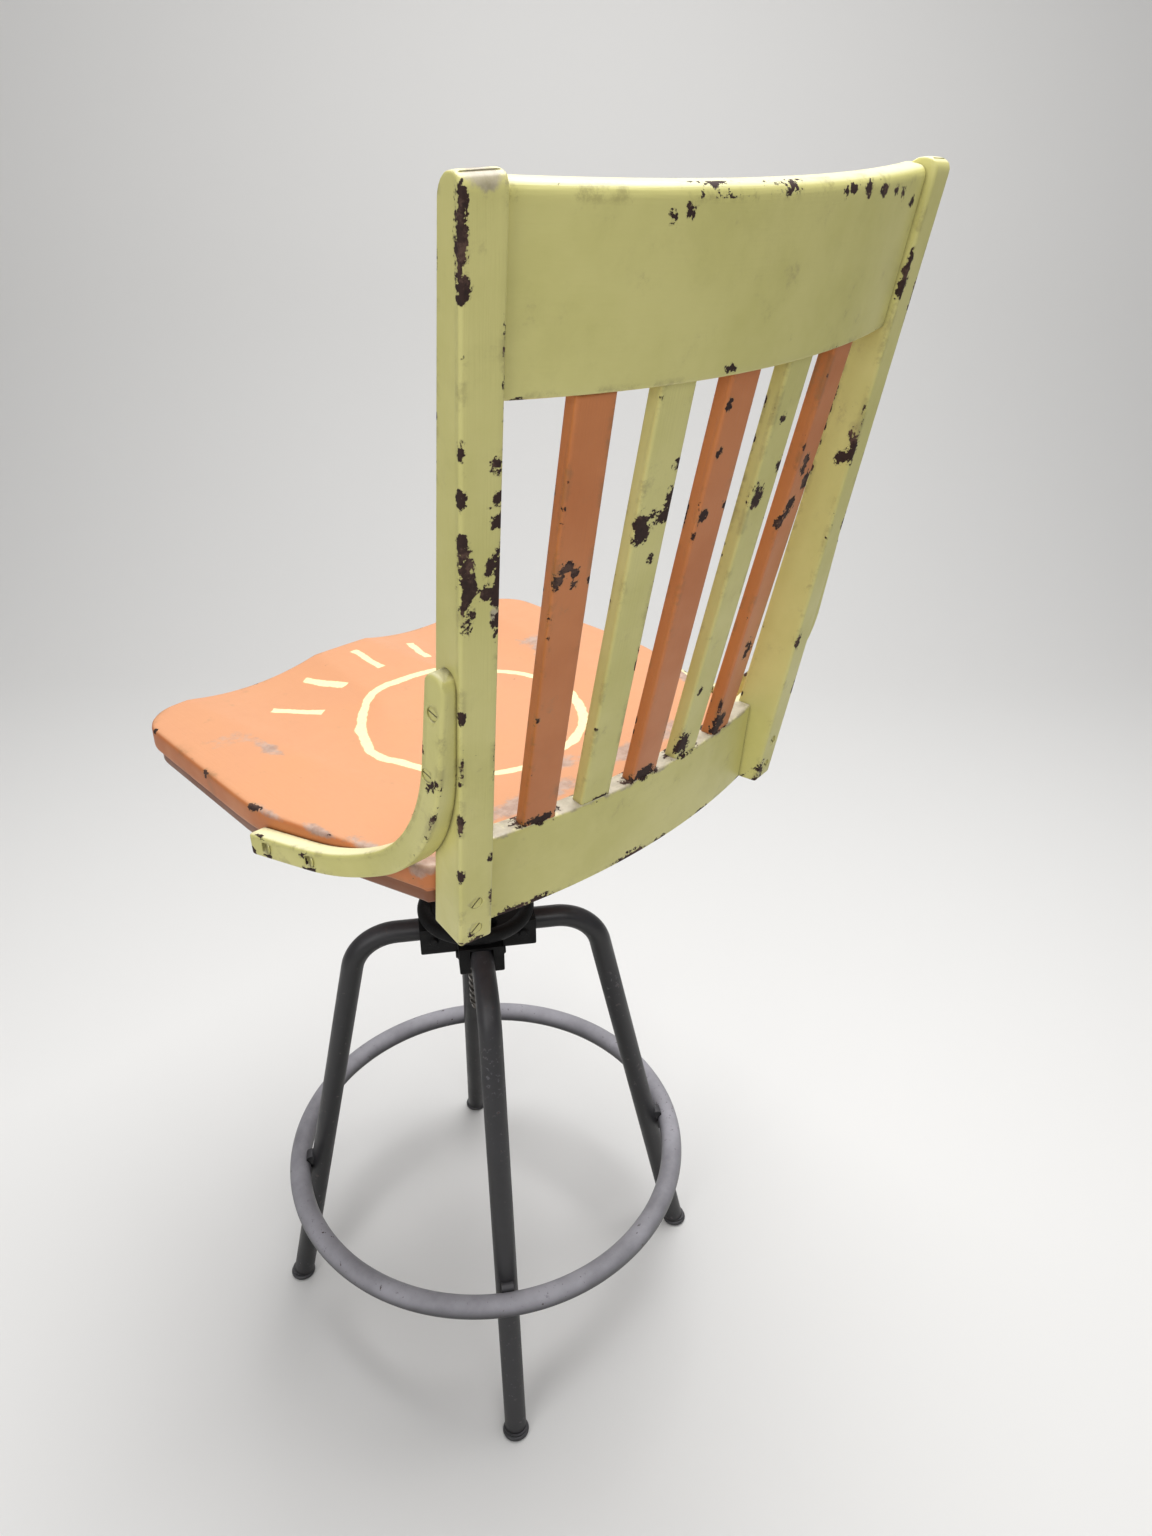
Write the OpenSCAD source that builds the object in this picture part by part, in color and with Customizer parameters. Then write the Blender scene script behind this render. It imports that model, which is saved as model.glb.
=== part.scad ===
// Swivelling drafting chair: slatted wooden back, saddle seat, screw column, tube legs and foot ring.
// Millimetres, +Z up, the sitter faces -Y. The origin is on the floor, in the middle of the chair's outline.

/* [Seat] */
// Height of the seat's rim above the floor
seat_h = 731; // [690:1:770]
// Half width of the seat at its widest
seat_half_w = 221; // [205:1:235]
// Half width of the seat where it meets the posts
seat_rear_half_w = 172.5; // [168:0.5:174]
// Distance from the spindle to the seat's front edge
seat_front = 198; // [180:1:215]
// Thickness of the seat board
seat_t = 36; // [32:1:42]
// Depth of the two leg hollows at the front edge
hollow_depth = 9; // [0:1:12]

/* [Back] */
// Backward lean of the crest rail in degrees
crest_rake = 9.2; // [6:0.1:12]
// Width of a post across its back face
post_w = 25.7; // [22:0.1:30]
// Depth of a post at its foot
post_foot_d = 38; // [34:0.5:42]
// Depth of a post at its top
post_top_d = 22.5; // [20:0.5:28]
// Length of a post
post_len = 487; // [470:1:500]
// Height of the crest rail along its face
crest_h = 99.5; // [90:0.5:104]
// Height of the lower rail
low_rail_h = 72; // [60:1:76]
// Width of a slat
slat_w = 27.5; // [22:0.5:32]
// Thickness of a slat
slat_t = 11; // [9:0.5:13]
// Spread of the slats where they leave the lower rail
slat_foot_pitch = 50; // [46:0.5:52]
// Spread of the slats where they enter the crest rail
slat_top_pitch = 57; // [52:0.5:58]

/* [Base] */
// Outer diameter of the leg tubes and of the foot ring
tube_d = 22.2; // [19:0.1:22.4]
// Wall of the tubes
tube_wall = 1.6; // [1.2:0.1:2.5]
// Distance of a foot from the spindle
foot_r = 226.5; // [215:0.5:240]
// Height of the legs' level tops, at their centre line
leg_top_z = 491.6; // [485:0.1:498]
// Height of the foot ring's centre line
ring_z = 184.4; // [150:0.1:240]
// Diameter of the handwheel
wheel_d = 115; // [100:1:116]

/* [Column] */
// Diameter of the threaded spindle
spindle_d = 22; // [20:0.5:24]
// Pitch of the spindle's thread
thread_pitch = 8; // [6:1:10]

/* [Hidden] */
$fn = 48;
fine = 96;
slip = 0.05;       // running clearance of a fit, on the radius
gap = 0.1;         // room round a glued or screwed piece
far = 400;         // larger than any single piece

seat_top = seat_h;
seat_z = seat_top - seat_t;
upper_band = 20;   // upright upper part of the seat's edge
band_step = 5;     // the lower part of the edge steps in by this
taper_y0 = 20;     // the sides taper behind this line
taper_y1 = 180;    // and reach the posts here
side_slope = (seat_half_w - seat_rear_half_w) / (taper_y1 - taper_y0);
side_ang = atan(side_slope);

post_turn = -10.1; // a post's section is turned to follow the bow of the rails
post_foot = [177.3, 205.9, 682];
post_lean = [-9.23, 1.98, post_turn];

crest_r = 625;
crest_t = 20;
crest_foot = [0, 288, 1057];
low_r = 650;
low_t = 17;
low_rake = 3.6;
low_foot = [0, 211.5, 681];
tenon_l = 16;
tenon_t = 8;
slat_tenon = 12;

leg_az = 55.25;
bend_r = 48;
corner_r = 117.6;
leg_tilt = atan((foot_r - corner_r) / leg_top_z);
bend_ang = 90 - leg_tilt;
bend_x = corner_r - bend_r * tan(bend_ang / 2);
bend_z = leg_top_z - bend_r;
leg_r_at_ring = foot_r - ring_z * tan(leg_tilt);
ring_r = leg_r_at_ring + (tube_d + gap) / cos(leg_tilt);
glide_r = 13.6;
glide_h = 9;
hair = 0.01;
leg_inner = 27;    // where a leg's level part starts, from the spindle

arm_len = 57;
arm_w = 43;
arm_bottom = 474;
arm_top = leg_top_z + tube_d / 2 + 2.8;
arm_round = 4.5;
boss_r = 21;
boss_bottom = 452;
rivet_r = 3;
rivet_x = 44;

wheel_rim_r = 7;
wheel_bottom = arm_top + 1.2;
wheel_mid = wheel_bottom + wheel_rim_r;
wheel_hub_r = 21;
wheel_hub_top = wheel_bottom + 19;
nut_r = 15.5;

spindle_r = spindle_d / 2;
spindle_bottom = 385;
shoulder_z = 648;
journal_r = 9;
iron_bottom = shoulder_z + 3;
iron_hub_r = 24;
iron_floor = iron_bottom + 20;
iron_t = 6;
iron_arm_l = 122;
iron_arm_w = 26;
key_w = 5;
key_depth = 2.5;

brace_w = 19;
brace_t = 14;
brace_bend = 150;
brace_rise = 3;    // slope of the seat arm
brace_rake = 8.75; // lean of the post arm
brace_corner = [197.8, 718.7];
brace_front = 26;
brace_top = 906;
brace_out_x = 200;

screw_head_r = 4.6;
screw_shank_r = 2.2;

// The chair's outline reaches from the front of the foot ring to the crest rail's back.
crest_back = crest_foot[1] + sin(crest_rake) * (crest_h - 5);
mid_y = (crest_back - ring_r - tube_d / 2) / 2;

timber = [0.80, 0.79, 0.50];
salmon = [0.86, 0.55, 0.38];
iron = [0.16, 0.16, 0.17];
brass_c = [0.72, 0.58, 0.30];

function arc(c, r, a0, a1, n) = [for (i = [0:n]) let (a = a0 + (a1 - a0) * i / n)
    [c[0] + r * cos(a), c[1] + r * sin(a)]];
function mirror_x(pts) = [for (i = [len(pts) - 1:-1:0]) [-pts[i][0], pts[i][1]]];
function side_x(y) = seat_half_w - (y - taper_y0) * side_slope;
// Angles that carry the Z axis onto the line from p to q, after a turn about Z.
function lean_to(p, q, turn) = let (
    d = (q - p) / norm(q - p),
    x = d[0] * cos(turn) + d[1] * sin(turn),
    y = -d[0] * sin(turn) + d[1] * cos(turn))
    [-asin(y), atan2(x, d[2]), turn];

module on_floor() { translate([0, -mid_y, 0]) children(); }
module both() { children(); mirror([1, 0, 0]) children(); }
module legs_around() { for (k = [0:3]) rotate([0, 0, leg_az + 90 * k]) children(); }
// A post's own frame: X outward from its outer face, Y back from its back face, Z along it.
module post_frame() { translate(post_foot) rotate(post_lean) children(); }
module crest_frame() { translate(crest_foot) rotate([-crest_rake, 0, 0]) translate([0, -crest_r, 0]) children(); }
module low_frame() { translate(low_foot) rotate([-low_rake, 0, 0]) translate([0, -low_r, 0]) children(); }

// Countersunk slotted wood screw: its head's face is at z = 0 and its shank runs down -Z.
module screw(l, play = 0) {
    head = screw_head_r + play;
    shank = screw_shank_r + play;
    translate([0, 0, -l - play]) cylinder(r = shank, h = l + play);
    translate([0, 0, -3.2]) cylinder(r1 = shank, r2 = head, h = 2.6);
    translate([0, 0, -0.6]) cylinder(r = head, h = 0.6 + (play > 0 ? 2 : 0));
}
module slotted_screw(l, turn) {
    difference() {
        screw(l);
        rotate([0, 0, turn]) translate([-6, -0.6, -1.2]) cube([12, 1.2, 3]);
    }
}

// ---------- base ----------
module pipe(r, hollow, l) {
    difference() {
        cylinder(r = r, h = l);
        if (hollow) translate([0, 0, -1]) cylinder(r = r - tube_wall, h = l + 2);
    }
}
// Each leg is three lengths of tube end to end, a hair apart so that every length is a closed solid.
module leg_straight(r, hollow) {
    translate([bend_x + bend_r * cos(leg_tilt), 0, bend_z + bend_r * sin(leg_tilt)])
        rotate([0, 180 - leg_tilt, 0]) translate([0, 0, hair]) pipe(r, hollow, far + 80);
}
module leg_path(r, hollow) {
    translate([leg_inner, 0, leg_top_z]) rotate([0, 90, 0]) pipe(r, hollow, bend_x - leg_inner - hair);
    translate([bend_x, 0, bend_z]) rotate([90, 0, 0]) rotate([0, 0, leg_tilt])
        rotate_extrude(angle = bend_ang, $fn = fine) translate([bend_r, 0]) difference() {
            circle(r = r);
            if (hollow) circle(r = r - tube_wall);
        }
    leg_straight(r, hollow);
}
module leg_tube() {
    difference() {
        leg_path(tube_d / 2, true);
        translate([0, -far, -far]) cube([far, 2 * far, far + 3]);
        leg_rivet(gap);
    }
}
module leg(k) { color(iron) on_floor() rotate([0, 0, leg_az + 90 * k]) leg_tube(); }
module leg_rear_left() { leg(0); }
module leg_rear_right() { leg(1); }
module leg_front_right() { leg(2); }
module leg_front_left() { leg(3); }

module foot_glides() {
    color(iron) on_floor() legs_around() difference() {
        translate([foot_r, 0, 0]) rotate_extrude() polygon(concat(
            [[0, 0], [glide_r - 2.5, 0]], arc([glide_r - 3, 3.4], 3, -60, 75, 6), [[11.6, glide_h], [0, glide_h]]));
        intersection() {
            leg_straight(tube_d / 2 + gap / 2, false);
            translate([0, -far, 3 - gap]) cube([far, 2 * far, far]);
        }
    }
}
module foot_ring() {
    color(iron) on_floor() translate([0, 0, ring_z]) rotate_extrude($fn = fine) translate([ring_r, 0]) difference() {
        circle(r = tube_d / 2);
        circle(r = tube_d / 2 - tube_wall);
    }
}
module ring_solid(extra) {
    translate([0, 0, ring_z]) rotate_extrude() translate([ring_r, 0]) circle(r = tube_d / 2 + extra);
}
// A weld bead lies in the notch above and below the place where the ring touches a leg.
module ring_welds() {
    weld_x = (leg_r_at_ring + ring_r) / 2;
    $fn = 192;
    color(iron) on_floor() legs_around() for (s = [-1, 1]) difference() {
        translate([weld_x - s * 8 * sin(leg_tilt), 6, ring_z + s * 8]) rotate([90, 0, 0]) cylinder(r = 5.6, h = 12);
        leg_straight(tube_d / 2 + gap / 2, false);
        ring_solid(gap / 2);
    }
}

module leg_rivet(play) {
    translate([rivet_x, arm_w / 2 + play, leg_top_z]) rotate([90, 0, 0]) cylinder(r = rivet_r + play, h = arm_w + 2 * play);
}
// Two arms in one: a bar through the middle of the hub, with its lower corners rounded both ways.
module hub_arm() {
    intersection() {
        rotate([90, 0, 0]) translate([0, 0, -arm_w]) linear_extrude(2 * arm_w) round_bottom(arm_len);
        rotate([90, 0, 90]) translate([0, 0, -2 * arm_len]) linear_extrude(4 * arm_len) round_bottom(arm_w / 2);
    }
}
module round_bottom(half) {
    polygon(concat(arc([half - arm_round, arm_bottom + arm_round], arm_round, -90, 0, 5), [[half, arm_top], [-half, arm_top]],
        arc([-half + arm_round, arm_bottom + arm_round], arm_round, 180, 270, 5)));
}
module hub_spider() {
    color(iron) on_floor() difference() {
        union() {
            for (a = [0, 90]) rotate([0, 0, leg_az + a]) hub_arm();
            translate([0, 0, boss_bottom]) cylinder(r = boss_r, h = arm_top - boss_bottom);
        }
        legs_around() {
            translate([leg_inner - 1, -tube_d / 2 - gap, arm_bottom - 1])
                cube([far, tube_d + 2 * gap, leg_top_z + tube_d / 2 + gap - arm_bottom + 1]);
            leg_rivet(gap / 2);
        }
        translate([0, 0, boss_bottom - 1]) cylinder(r = spindle_r + slip, h = far);
        key_block(gap / 2);
    }
}
// The key sits in a slot of the hub and reaches into the spindle's keyway, so that the spindle can't turn.
module key_block(play) {
    rotate([0, 0, leg_az + 45]) translate([spindle_r - key_depth + 0.3, -key_w / 2 - play, boss_bottom + 6 - play])
        cube([9, key_w + 2 * play, 34 + 2 * play]);
}
module spindle_key() { color(iron) on_floor() key_block(0); }
module leg_rivets() {
    color(iron) on_floor() legs_around() {
        leg_rivet(0);
        for (s = [-1, 1]) translate([rivet_x, s * arm_w / 2, leg_top_z]) rotate([-s * 90, 0, 0])
            cylinder(r1 = 5.2, r2 = 3.4, h = 2.6);
    }
}

// ---------- handwheel ----------
module thrust_washer() {
    color(brass_c) on_floor() translate([0, 0, arm_top + hair]) difference() {
        cylinder(r = 20, h = 1);
        translate([0, 0, -1]) cylinder(r = spindle_r + 0.4, h = 3);
    }
}
module handwheel() {
    rim_r = wheel_d / 2 - wheel_rim_r;
    color(iron) on_floor() difference() {
        union() {
            translate([0, 0, wheel_mid]) rotate_extrude($fn = fine) translate([rim_r, 0]) circle(r = wheel_rim_r);
            translate([0, 0, wheel_mid - 3]) cylinder(r = rim_r, h = 6);
            translate([0, 0, wheel_bottom]) cylinder(r = wheel_hub_r, h = wheel_hub_top - wheel_bottom);
        }
        for (k = [0:4]) rotate([0, 0, 72 * k]) translate([(wheel_hub_r + rim_r - 4) / 2 + 1, 0, wheel_bottom])
            cylinder(r = 8, h = 20);
        translate([0, 0, wheel_bottom - 1]) cylinder(r = nut_r, h = far);
    }
}
module spindle_nut() {
    color(brass_c) on_floor() translate([0, 0, wheel_bottom]) difference() {
        cylinder(r = nut_r, h = wheel_hub_top - wheel_bottom + 3);
        translate([0, 0, -1]) cylinder(r = spindle_r + slip, h = far);
    }
}

// ---------- column ----------
module spindle() {
    root = spindle_r - 1.6;
    q = thread_pitch / 4;
    turns = floor((shoulder_z - 8 - spindle_bottom - 4) / thread_pitch);
    thread = [for (i = [0:turns - 1], p = [[root, 0], [root, q], [spindle_r, 1.5 * q], [spindle_r, 3 * q], [root, 3.5 * q]])
        [p[0], spindle_bottom + 4 + i * thread_pitch + p[1]]];
    color(iron) on_floor() difference() {
        rotate_extrude() polygon(concat([[0, spindle_bottom], [root - 1, spindle_bottom], [root, spindle_bottom + 1]],
            thread, [[root, shoulder_z - 8], [spindle_r, shoulder_z - 7], [spindle_r, shoulder_z], [journal_r, shoulder_z],
            [journal_r, iron_floor + 11], [0, iron_floor + 11]]));
        rotate([0, 0, leg_az + 45]) translate([spindle_r - key_depth, -key_w / 2 - 0.1, spindle_bottom - 1])
            cube([9, key_w + 0.2, shoulder_z - 20 - spindle_bottom]);
    }
}
module swivel_washer() {
    color(brass_c) on_floor() translate([0, 0, shoulder_z]) difference() {
        cylinder(r = 20, h = iron_bottom - shoulder_z - 0.1);
        translate([0, 0, -1]) cylinder(r = journal_r + gap, h = 5);
    }
}
module swivel_nut() {
    color(iron) on_floor() translate([0, 0, iron_floor + 0.3]) difference() {
        cylinder(r = 14.4, h = 9, $fn = 6);
        translate([0, 0, -1]) cylinder(r = journal_r, h = 12);
    }
}

// ---------- seat ----------
// Outline of the seat, drawn in by the step. Its rear is left long and cut by the rail and the posts.
module seat_outline(inset) {
    r = 40 - inset;
    w = seat_half_w - inset;
    wf = w - 4;
    half = concat(
        arc([wf - r, -seat_front + 6 + inset + r], r, -84, 0, 10),
        [[w, -20], [w, taper_y0 - 18]],
        arc([w - 110, taper_y0 - 18], 110, 0, side_ang, 4),
        [[seat_rear_half_w - inset, taper_y1], [seat_rear_half_w - inset - 3, taper_y1 + 30]]);
    front = [for (i = [-5:5]) [i * 30, -seat_front + inset + 6 * pow(abs(i) / 6, 2)]];
    polygon(concat(front, half, mirror_x(half)));
}
module seat_board() {
    color(salmon) on_floor() difference() {
        union() {
            translate([0, 0, seat_top - upper_band]) linear_extrude(upper_band) seat_outline(0);
            translate([0, 0, seat_z]) linear_extrude(seat_t - upper_band) seat_outline(band_step);
        }
        both() translate([98, -seat_front - 20, seat_top + 260 - hollow_depth]) rotate([-88.6, 0, 0])
            cylinder(r = 260, h = 300, $fn = fine);
        translate([0, 60, seat_top + 1400 - 6]) sphere(r = 1400, $fn = fine);
        low_frame() rotate_extrude($fn = fine) translate([low_r - low_t - gap, -60]) square([90, 240]);
        both() post_frame() translate([-post_w - gap, -post_foot_d - gap, -20]) cube([post_w + 2 * gap, far, 90]);
        both() post_screw_places() screw(58, gap);
        both() brace_seat_places() screw(30, gap);
        iron_screw_places() screw(20, gap);
    }
}
module seat_iron() {
    color(iron) on_floor() difference() {
        union() {
            translate([0, 0, iron_bottom]) cylinder(r = iron_hub_r, h = seat_z - iron_bottom);
            for (a = [0, 90]) rotate([0, 0, a])
                translate([-iron_arm_l, -iron_arm_w / 2, seat_z - iron_t]) cube([2 * iron_arm_l, iron_arm_w, iron_t]);
        }
        translate([0, 0, iron_bottom - 1]) cylinder(r = journal_r + slip, h = far);
        translate([0, 0, iron_floor]) cylinder(r = 17, h = far);
        iron_screw_places() screw(20, gap / 2);
    }
}
module iron_screw_places() {
    for (a = [0:90:270], x = [68, 106]) rotate([0, 0, a]) translate([x, 0, seat_z - iron_t]) rotate([180, 0, 0]) children();
}
module iron_screws() { color(brass_c) on_floor() iron_screw_places() slotted_screw(20, 20); }

// ---------- back ----------
module post_blank() {
    top = post_len;
    side = concat([[0, 0], [0, top - 7]], arc([-7, top - 7], 7, 0, 90, 4),
        arc([-post_top_d * cos(crest_rake) + 14, top - 14], 14, 90, 180, 6), [[-post_foot_d * cos(crest_rake), -6.1]]);
    rotate([90, 0, -90]) linear_extrude(post_w) polygon([for (p = side) [-p[0], p[1]]]);
}
module post() {
    difference() {
        post_frame() post_blank();
        crest_tenon(gap);
        low_tenon(gap);
        post_screw_places() screw(58, gap);
        brace_post_places() screw(22, gap);
    }
}
module post_left() { color(timber) on_floor() post(); }
module post_right() { color(timber) on_floor() mirror([1, 0, 0]) post(); }
module crest_tenon(play) {
    post_frame() translate([-post_w - 3, -16 - play, 392 - play])
        cube([tenon_l + 3 + play, tenon_t + 2 * play, 76 + 2 * play]);
}
module low_tenon(play) {
    post_frame() translate([-post_w - 3, -31 - play, 19 - play])
        cube([tenon_l + 3 + play, tenon_t + 2 * play, 41 + 2 * play]);
}
module between_posts() {
    difference() {
        children();
        both() post_frame() translate([-post_w - gap / 2, -far / 2, -100]) cube([far, far, 800]);
    }
}
module crest_rail() {
    nose = 7;
    section = concat([[crest_r - crest_t, 0], [crest_r, 0], [crest_r, crest_h - nose]],
        arc([crest_r - nose, crest_h - nose], nose, 15, 90, 5),
        arc([crest_r - crest_t + nose, crest_h - nose], nose, 90, 180, 6));
    color(timber) on_floor() difference() {
        union() {
            between_posts() crest_frame() rotate([0, 0, 90 - 20]) rotate_extrude(angle = 40, $fn = fine) polygon(section);
            both() crest_tenon(0);
        }
        for (i = [-2:2]) slat_tenons(i, gap);
    }
}
module lower_rail() {
    section = concat([[low_r - low_t, 0], [low_r - 3, 0]], arc([low_r - 3, 3], 3, -75, 0, 4),
        [[low_r, low_rail_h], [low_r - low_t, low_rail_h]]);
    color(timber) on_floor() difference() {
        union() {
            between_posts() low_frame() rotate([0, 0, 90 - 20]) rotate_extrude(angle = 40, $fn = fine) polygon(section);
            both() low_tenon(0);
        }
        for (i = [-2:2]) slat_tenons(i, gap);
        both() post_screw_places() screw(58, gap);
    }
}
function slat_foot(i) = let (x = i * slat_foot_pitch, a = asin(x / low_r))
    [x, low_foot[1] + sin(low_rake) * low_rail_h + low_r * (cos(a) - 1) - slat_t / 2 - 1.5, low_foot[2] + low_rail_h];
function slat_head(i) = let (x = i * slat_top_pitch, a = asin(x / crest_r))
    [x, crest_foot[1] + crest_r * (cos(a) - 1) - slat_t / 2 - 4.6, crest_foot[2]];
function slat_turn(i) = -asin((slat_foot(i)[0] + slat_head(i)[0]) / (low_r + crest_r));
function slat_len(i) = norm(slat_head(i) - slat_foot(i));
module slat_frame(i) {
    translate(slat_foot(i)) rotate(lean_to(slat_foot(i), slat_head(i), slat_turn(i))) children();
}
module slat_tenons(i, play) {
    w = slat_w - 8;
    t = slat_t - 4;
    slat_frame(i) translate([-w / 2 - play, -t / 2 - play, -slat_tenon - play])
        cube([w + 2 * play, t + 2 * play, slat_len(i) + 2 * slat_tenon + 2 * play]);
}
module slat(i) {
    color(i % 2 == 0 ? salmon : timber) on_floor() union() {
        difference() {
            slat_frame(i) translate([-slat_w / 2, -slat_t / 2, -8]) cube([slat_w, slat_t, slat_len(i) + 16]);
            low_frame() translate([0, 0, -far + low_rail_h + gap / 2]) cylinder(r = low_r + 60, h = far, $fn = fine);
            crest_frame() translate([0, 0, -gap / 2]) cylinder(r = crest_r + 60, h = far, $fn = fine);
        }
        slat_tenons(i, 0);
    }
}
module slat_1() { slat(2); }
module slat_2() { slat(1); }
module slat_3() { slat(0); }
module slat_4() { slat(-1); }
module slat_5() { slat(-2); }

// ---------- braces ----------
brace_tan = brace_bend * tan((90 - brace_rise - brace_rake) / 2);
brace_c = brace_corner - brace_tan * [cos(brace_rise), sin(brace_rise)] + brace_bend * [-sin(brace_rise), cos(brace_rise)];
function brace_seat_mid(y) = brace_corner[1] + (y - brace_corner[0]) * tan(brace_rise);
function brace_post_mid(z) = brace_corner[0] + (z - brace_corner[1]) * tan(brace_rake);
module brace_side() {
    h = brace_w / 2;
    top = brace_post_mid(brace_top);
    polygon(concat(
        [[brace_front, brace_seat_mid(brace_front) + h - 4], [brace_front, brace_seat_mid(brace_front) - h + 5],
        [brace_front + 5, brace_seat_mid(brace_front) - h]],
        arc(brace_c, brace_bend + h, -90 + brace_rise, -brace_rake, 16),
        [[top + h - 1.5, brace_top - 10], [top + h - 5, brace_top], [top - h + 8, brace_top + 2], [top - h, brace_top - 9]],
        arc(brace_c, brace_bend - h, -brace_rake, -90 + brace_rise, 16),
        [[brace_front + 4, brace_seat_mid(brace_front) + h]]));
}
module brace_plan() {
    y_turn = 118;
    lo = brace_t / cos(side_ang);
    turn_r = (side_x(y_turn) + lo - brace_out_x) / (1 - cos(side_ang));
    outer = concat([[side_x(0) + lo, 0]], arc([brace_out_x + turn_r, y_turn + turn_r * sin(side_ang)], turn_r,
        180 + side_ang, 180, 10), [[brace_out_x, 260]]);
    inner = [[187.5, 260], [187.5, 165], [side_x(y_turn + 12) + gap, y_turn + 12], [side_x(0) + gap, 0]];
    polygon(concat(outer, inner));
}
module brace() {
    difference() {
        intersection() {
            rotate([90, 0, 90]) linear_extrude(260) brace_side();
            translate([0, 0, 600]) linear_extrude(400) brace_plan();
        }
        post_frame() translate([-far, -far / 2, 0]) cube([far + gap / 2, far, 500]);
        brace_seat_places() screw(30, gap / 2);
        brace_post_places() screw(22, gap / 2);
    }
}
module brace_left() { color(timber) on_floor() brace(); }
module brace_right() { color(timber) on_floor() mirror([1, 0, 0]) brace(); }

// Screw places, on the left side: +Z points out of the wood.
module brace_seat_places() {
    for (y = [42, 82]) translate([side_x(y) + brace_t / cos(side_ang) - 1.2, y, brace_seat_mid(y)])
        rotate([0, 0, -side_ang]) rotate([0, 90, 0]) children();
}
module brace_post_places() {
    for (z = [834, 880]) translate([brace_out_x - 1, brace_post_mid(z) - (z < 850 ? 3 : 0), z]) rotate([0, 90, 0]) children();
}
module post_screw_places() {
    for (z = [13, 38]) post_frame() translate([-post_w / 2, -0.8, z]) rotate([-90 + 9.2, 0, 0]) children();
}
module brace_seat_screws() { color(timber) on_floor() both() brace_seat_places() slotted_screw(30, 60); }
module brace_post_screws() { color(timber) on_floor() both() brace_post_places() slotted_screw(22, 75); }
module post_screws() { color(timber) on_floor() both() post_screw_places() slotted_screw(58, 40); }

leg_rear_left();
leg_rear_right();
leg_front_right();
leg_front_left();
foot_glides();
foot_ring();
ring_welds();
hub_spider();
spindle_key();
leg_rivets();
thrust_washer();
handwheel();
spindle_nut();
spindle();
swivel_washer();
swivel_nut();
seat_board();
seat_iron();
iron_screws();
post_left();
post_right();
crest_rail();
lower_rail();
slat_1();
slat_2();
slat_3();
slat_4();
slat_5();
brace_left();
brace_right();
brace_seat_screws();
brace_post_screws();
post_screws();
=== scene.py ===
"""A swivelling drafting chair: painted slatted timber on a black tube frame."""

import math

import bpy
import numpy as np
from mathutils import Euler, Matrix, Vector


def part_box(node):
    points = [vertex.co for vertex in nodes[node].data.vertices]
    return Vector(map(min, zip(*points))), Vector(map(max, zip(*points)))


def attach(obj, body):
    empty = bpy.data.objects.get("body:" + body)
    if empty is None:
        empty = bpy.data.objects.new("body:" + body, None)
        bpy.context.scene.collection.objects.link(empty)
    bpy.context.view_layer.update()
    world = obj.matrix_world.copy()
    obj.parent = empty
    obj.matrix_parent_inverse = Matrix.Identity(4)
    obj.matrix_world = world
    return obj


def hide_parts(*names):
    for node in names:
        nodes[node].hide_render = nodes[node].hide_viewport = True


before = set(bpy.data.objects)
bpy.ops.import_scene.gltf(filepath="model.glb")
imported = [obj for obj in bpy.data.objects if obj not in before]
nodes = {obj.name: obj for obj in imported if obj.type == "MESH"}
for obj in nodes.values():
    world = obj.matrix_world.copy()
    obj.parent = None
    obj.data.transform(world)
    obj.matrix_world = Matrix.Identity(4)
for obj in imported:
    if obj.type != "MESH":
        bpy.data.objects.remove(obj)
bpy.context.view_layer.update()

MM = 0.001
SPINDLE = (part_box("spindle")[0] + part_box("spindle")[1]) / 2
AXIS = np.array([SPINDLE.x, SPINDLE.y, 0.0])
SEAT_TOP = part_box("seat_board")[1].z / MM
SEAT_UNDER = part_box("seat_board")[0].z / MM
SEAT_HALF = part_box("seat_board")[1].x / MM

# Sizes in millimetres and angles in degrees, all from the spindle's axis, with the left side drawn.
# Back posts: the outer rear corner of the foot, the lean about each axis, and the bar's own size.
POST_FOOT = np.array([177.3, 205.9, 682.0])
POST_LEAN = (-9.23, 1.98, -10.1)
POST_W, POST_FOOT_D, POST_TOP_D, POST_LEN = 25.7, 38.0, 22.5, 487.0
POST_ARRIS, POST_SCREWS = 2.2, (13, 38)
# Crest and lower rail: the bend, thickness, height and rake, and the middle of the lower rear edge.
CREST_R, CREST_T, CREST_H, CREST_RAKE, CREST_NOSE, CREST_HALF_W = 625.0, 20.0, 99.5, 9.2, 6.5, 184.0
CREST_FOOT = np.array([0.0, 288.0, 1057.0])
LOW_R, LOW_T, LOW_H, LOW_RAKE, LOW_NOSE, LOW_HALF_W = 650.0, 17.0, 72.0, 3.6, 2.0, 168.0
LOW_FOOT = np.array([0.0, 211.5, 681.0])
# Slats: how far apart they stand on each rail, how far in from its rear face, and their tenons.
SLAT_W, SLAT_T, SLAT_FOOT_PITCH, SLAT_TOP_PITCH = 27.5, 11.0, 50.0, 57.0
SLAT_FOOT_SET, SLAT_TOP_SET, SLAT_TENON = 1.5, 4.6, 4.0
# Seat: straight sides to TAPER_Y0, then in to SEAT_REAR_HALF at TAPER_Y1.
SEAT_REAR_HALF, TAPER_Y0, TAPER_Y1, SEAT_FRONT = 172.5, 20.0, 180.0, 198.0
# Braces: the bent bar, where its two straight arms would meet in side view, and where it ends.
BRACE_W, BRACE_T, BRACE_BEND, BRACE_RISE, BRACE_RAKE = 19.0, 14.0, 150.0, 3.0, 8.75
BRACE_CORNER = np.array([197.8, 718.7])
BRACE_FRONT, BRACE_TOP, BRACE_OUT_X, BRACE_END = 26.0, 906.0, 200.0, 3.0
# Its screws: how far back on the seat, and (how high, how far forward of its middle) on the post.
BRACE_SEAT_SCREWS, BRACE_POST_SCREWS = (42, 82), ((834, 3), (880, 0))
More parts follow.
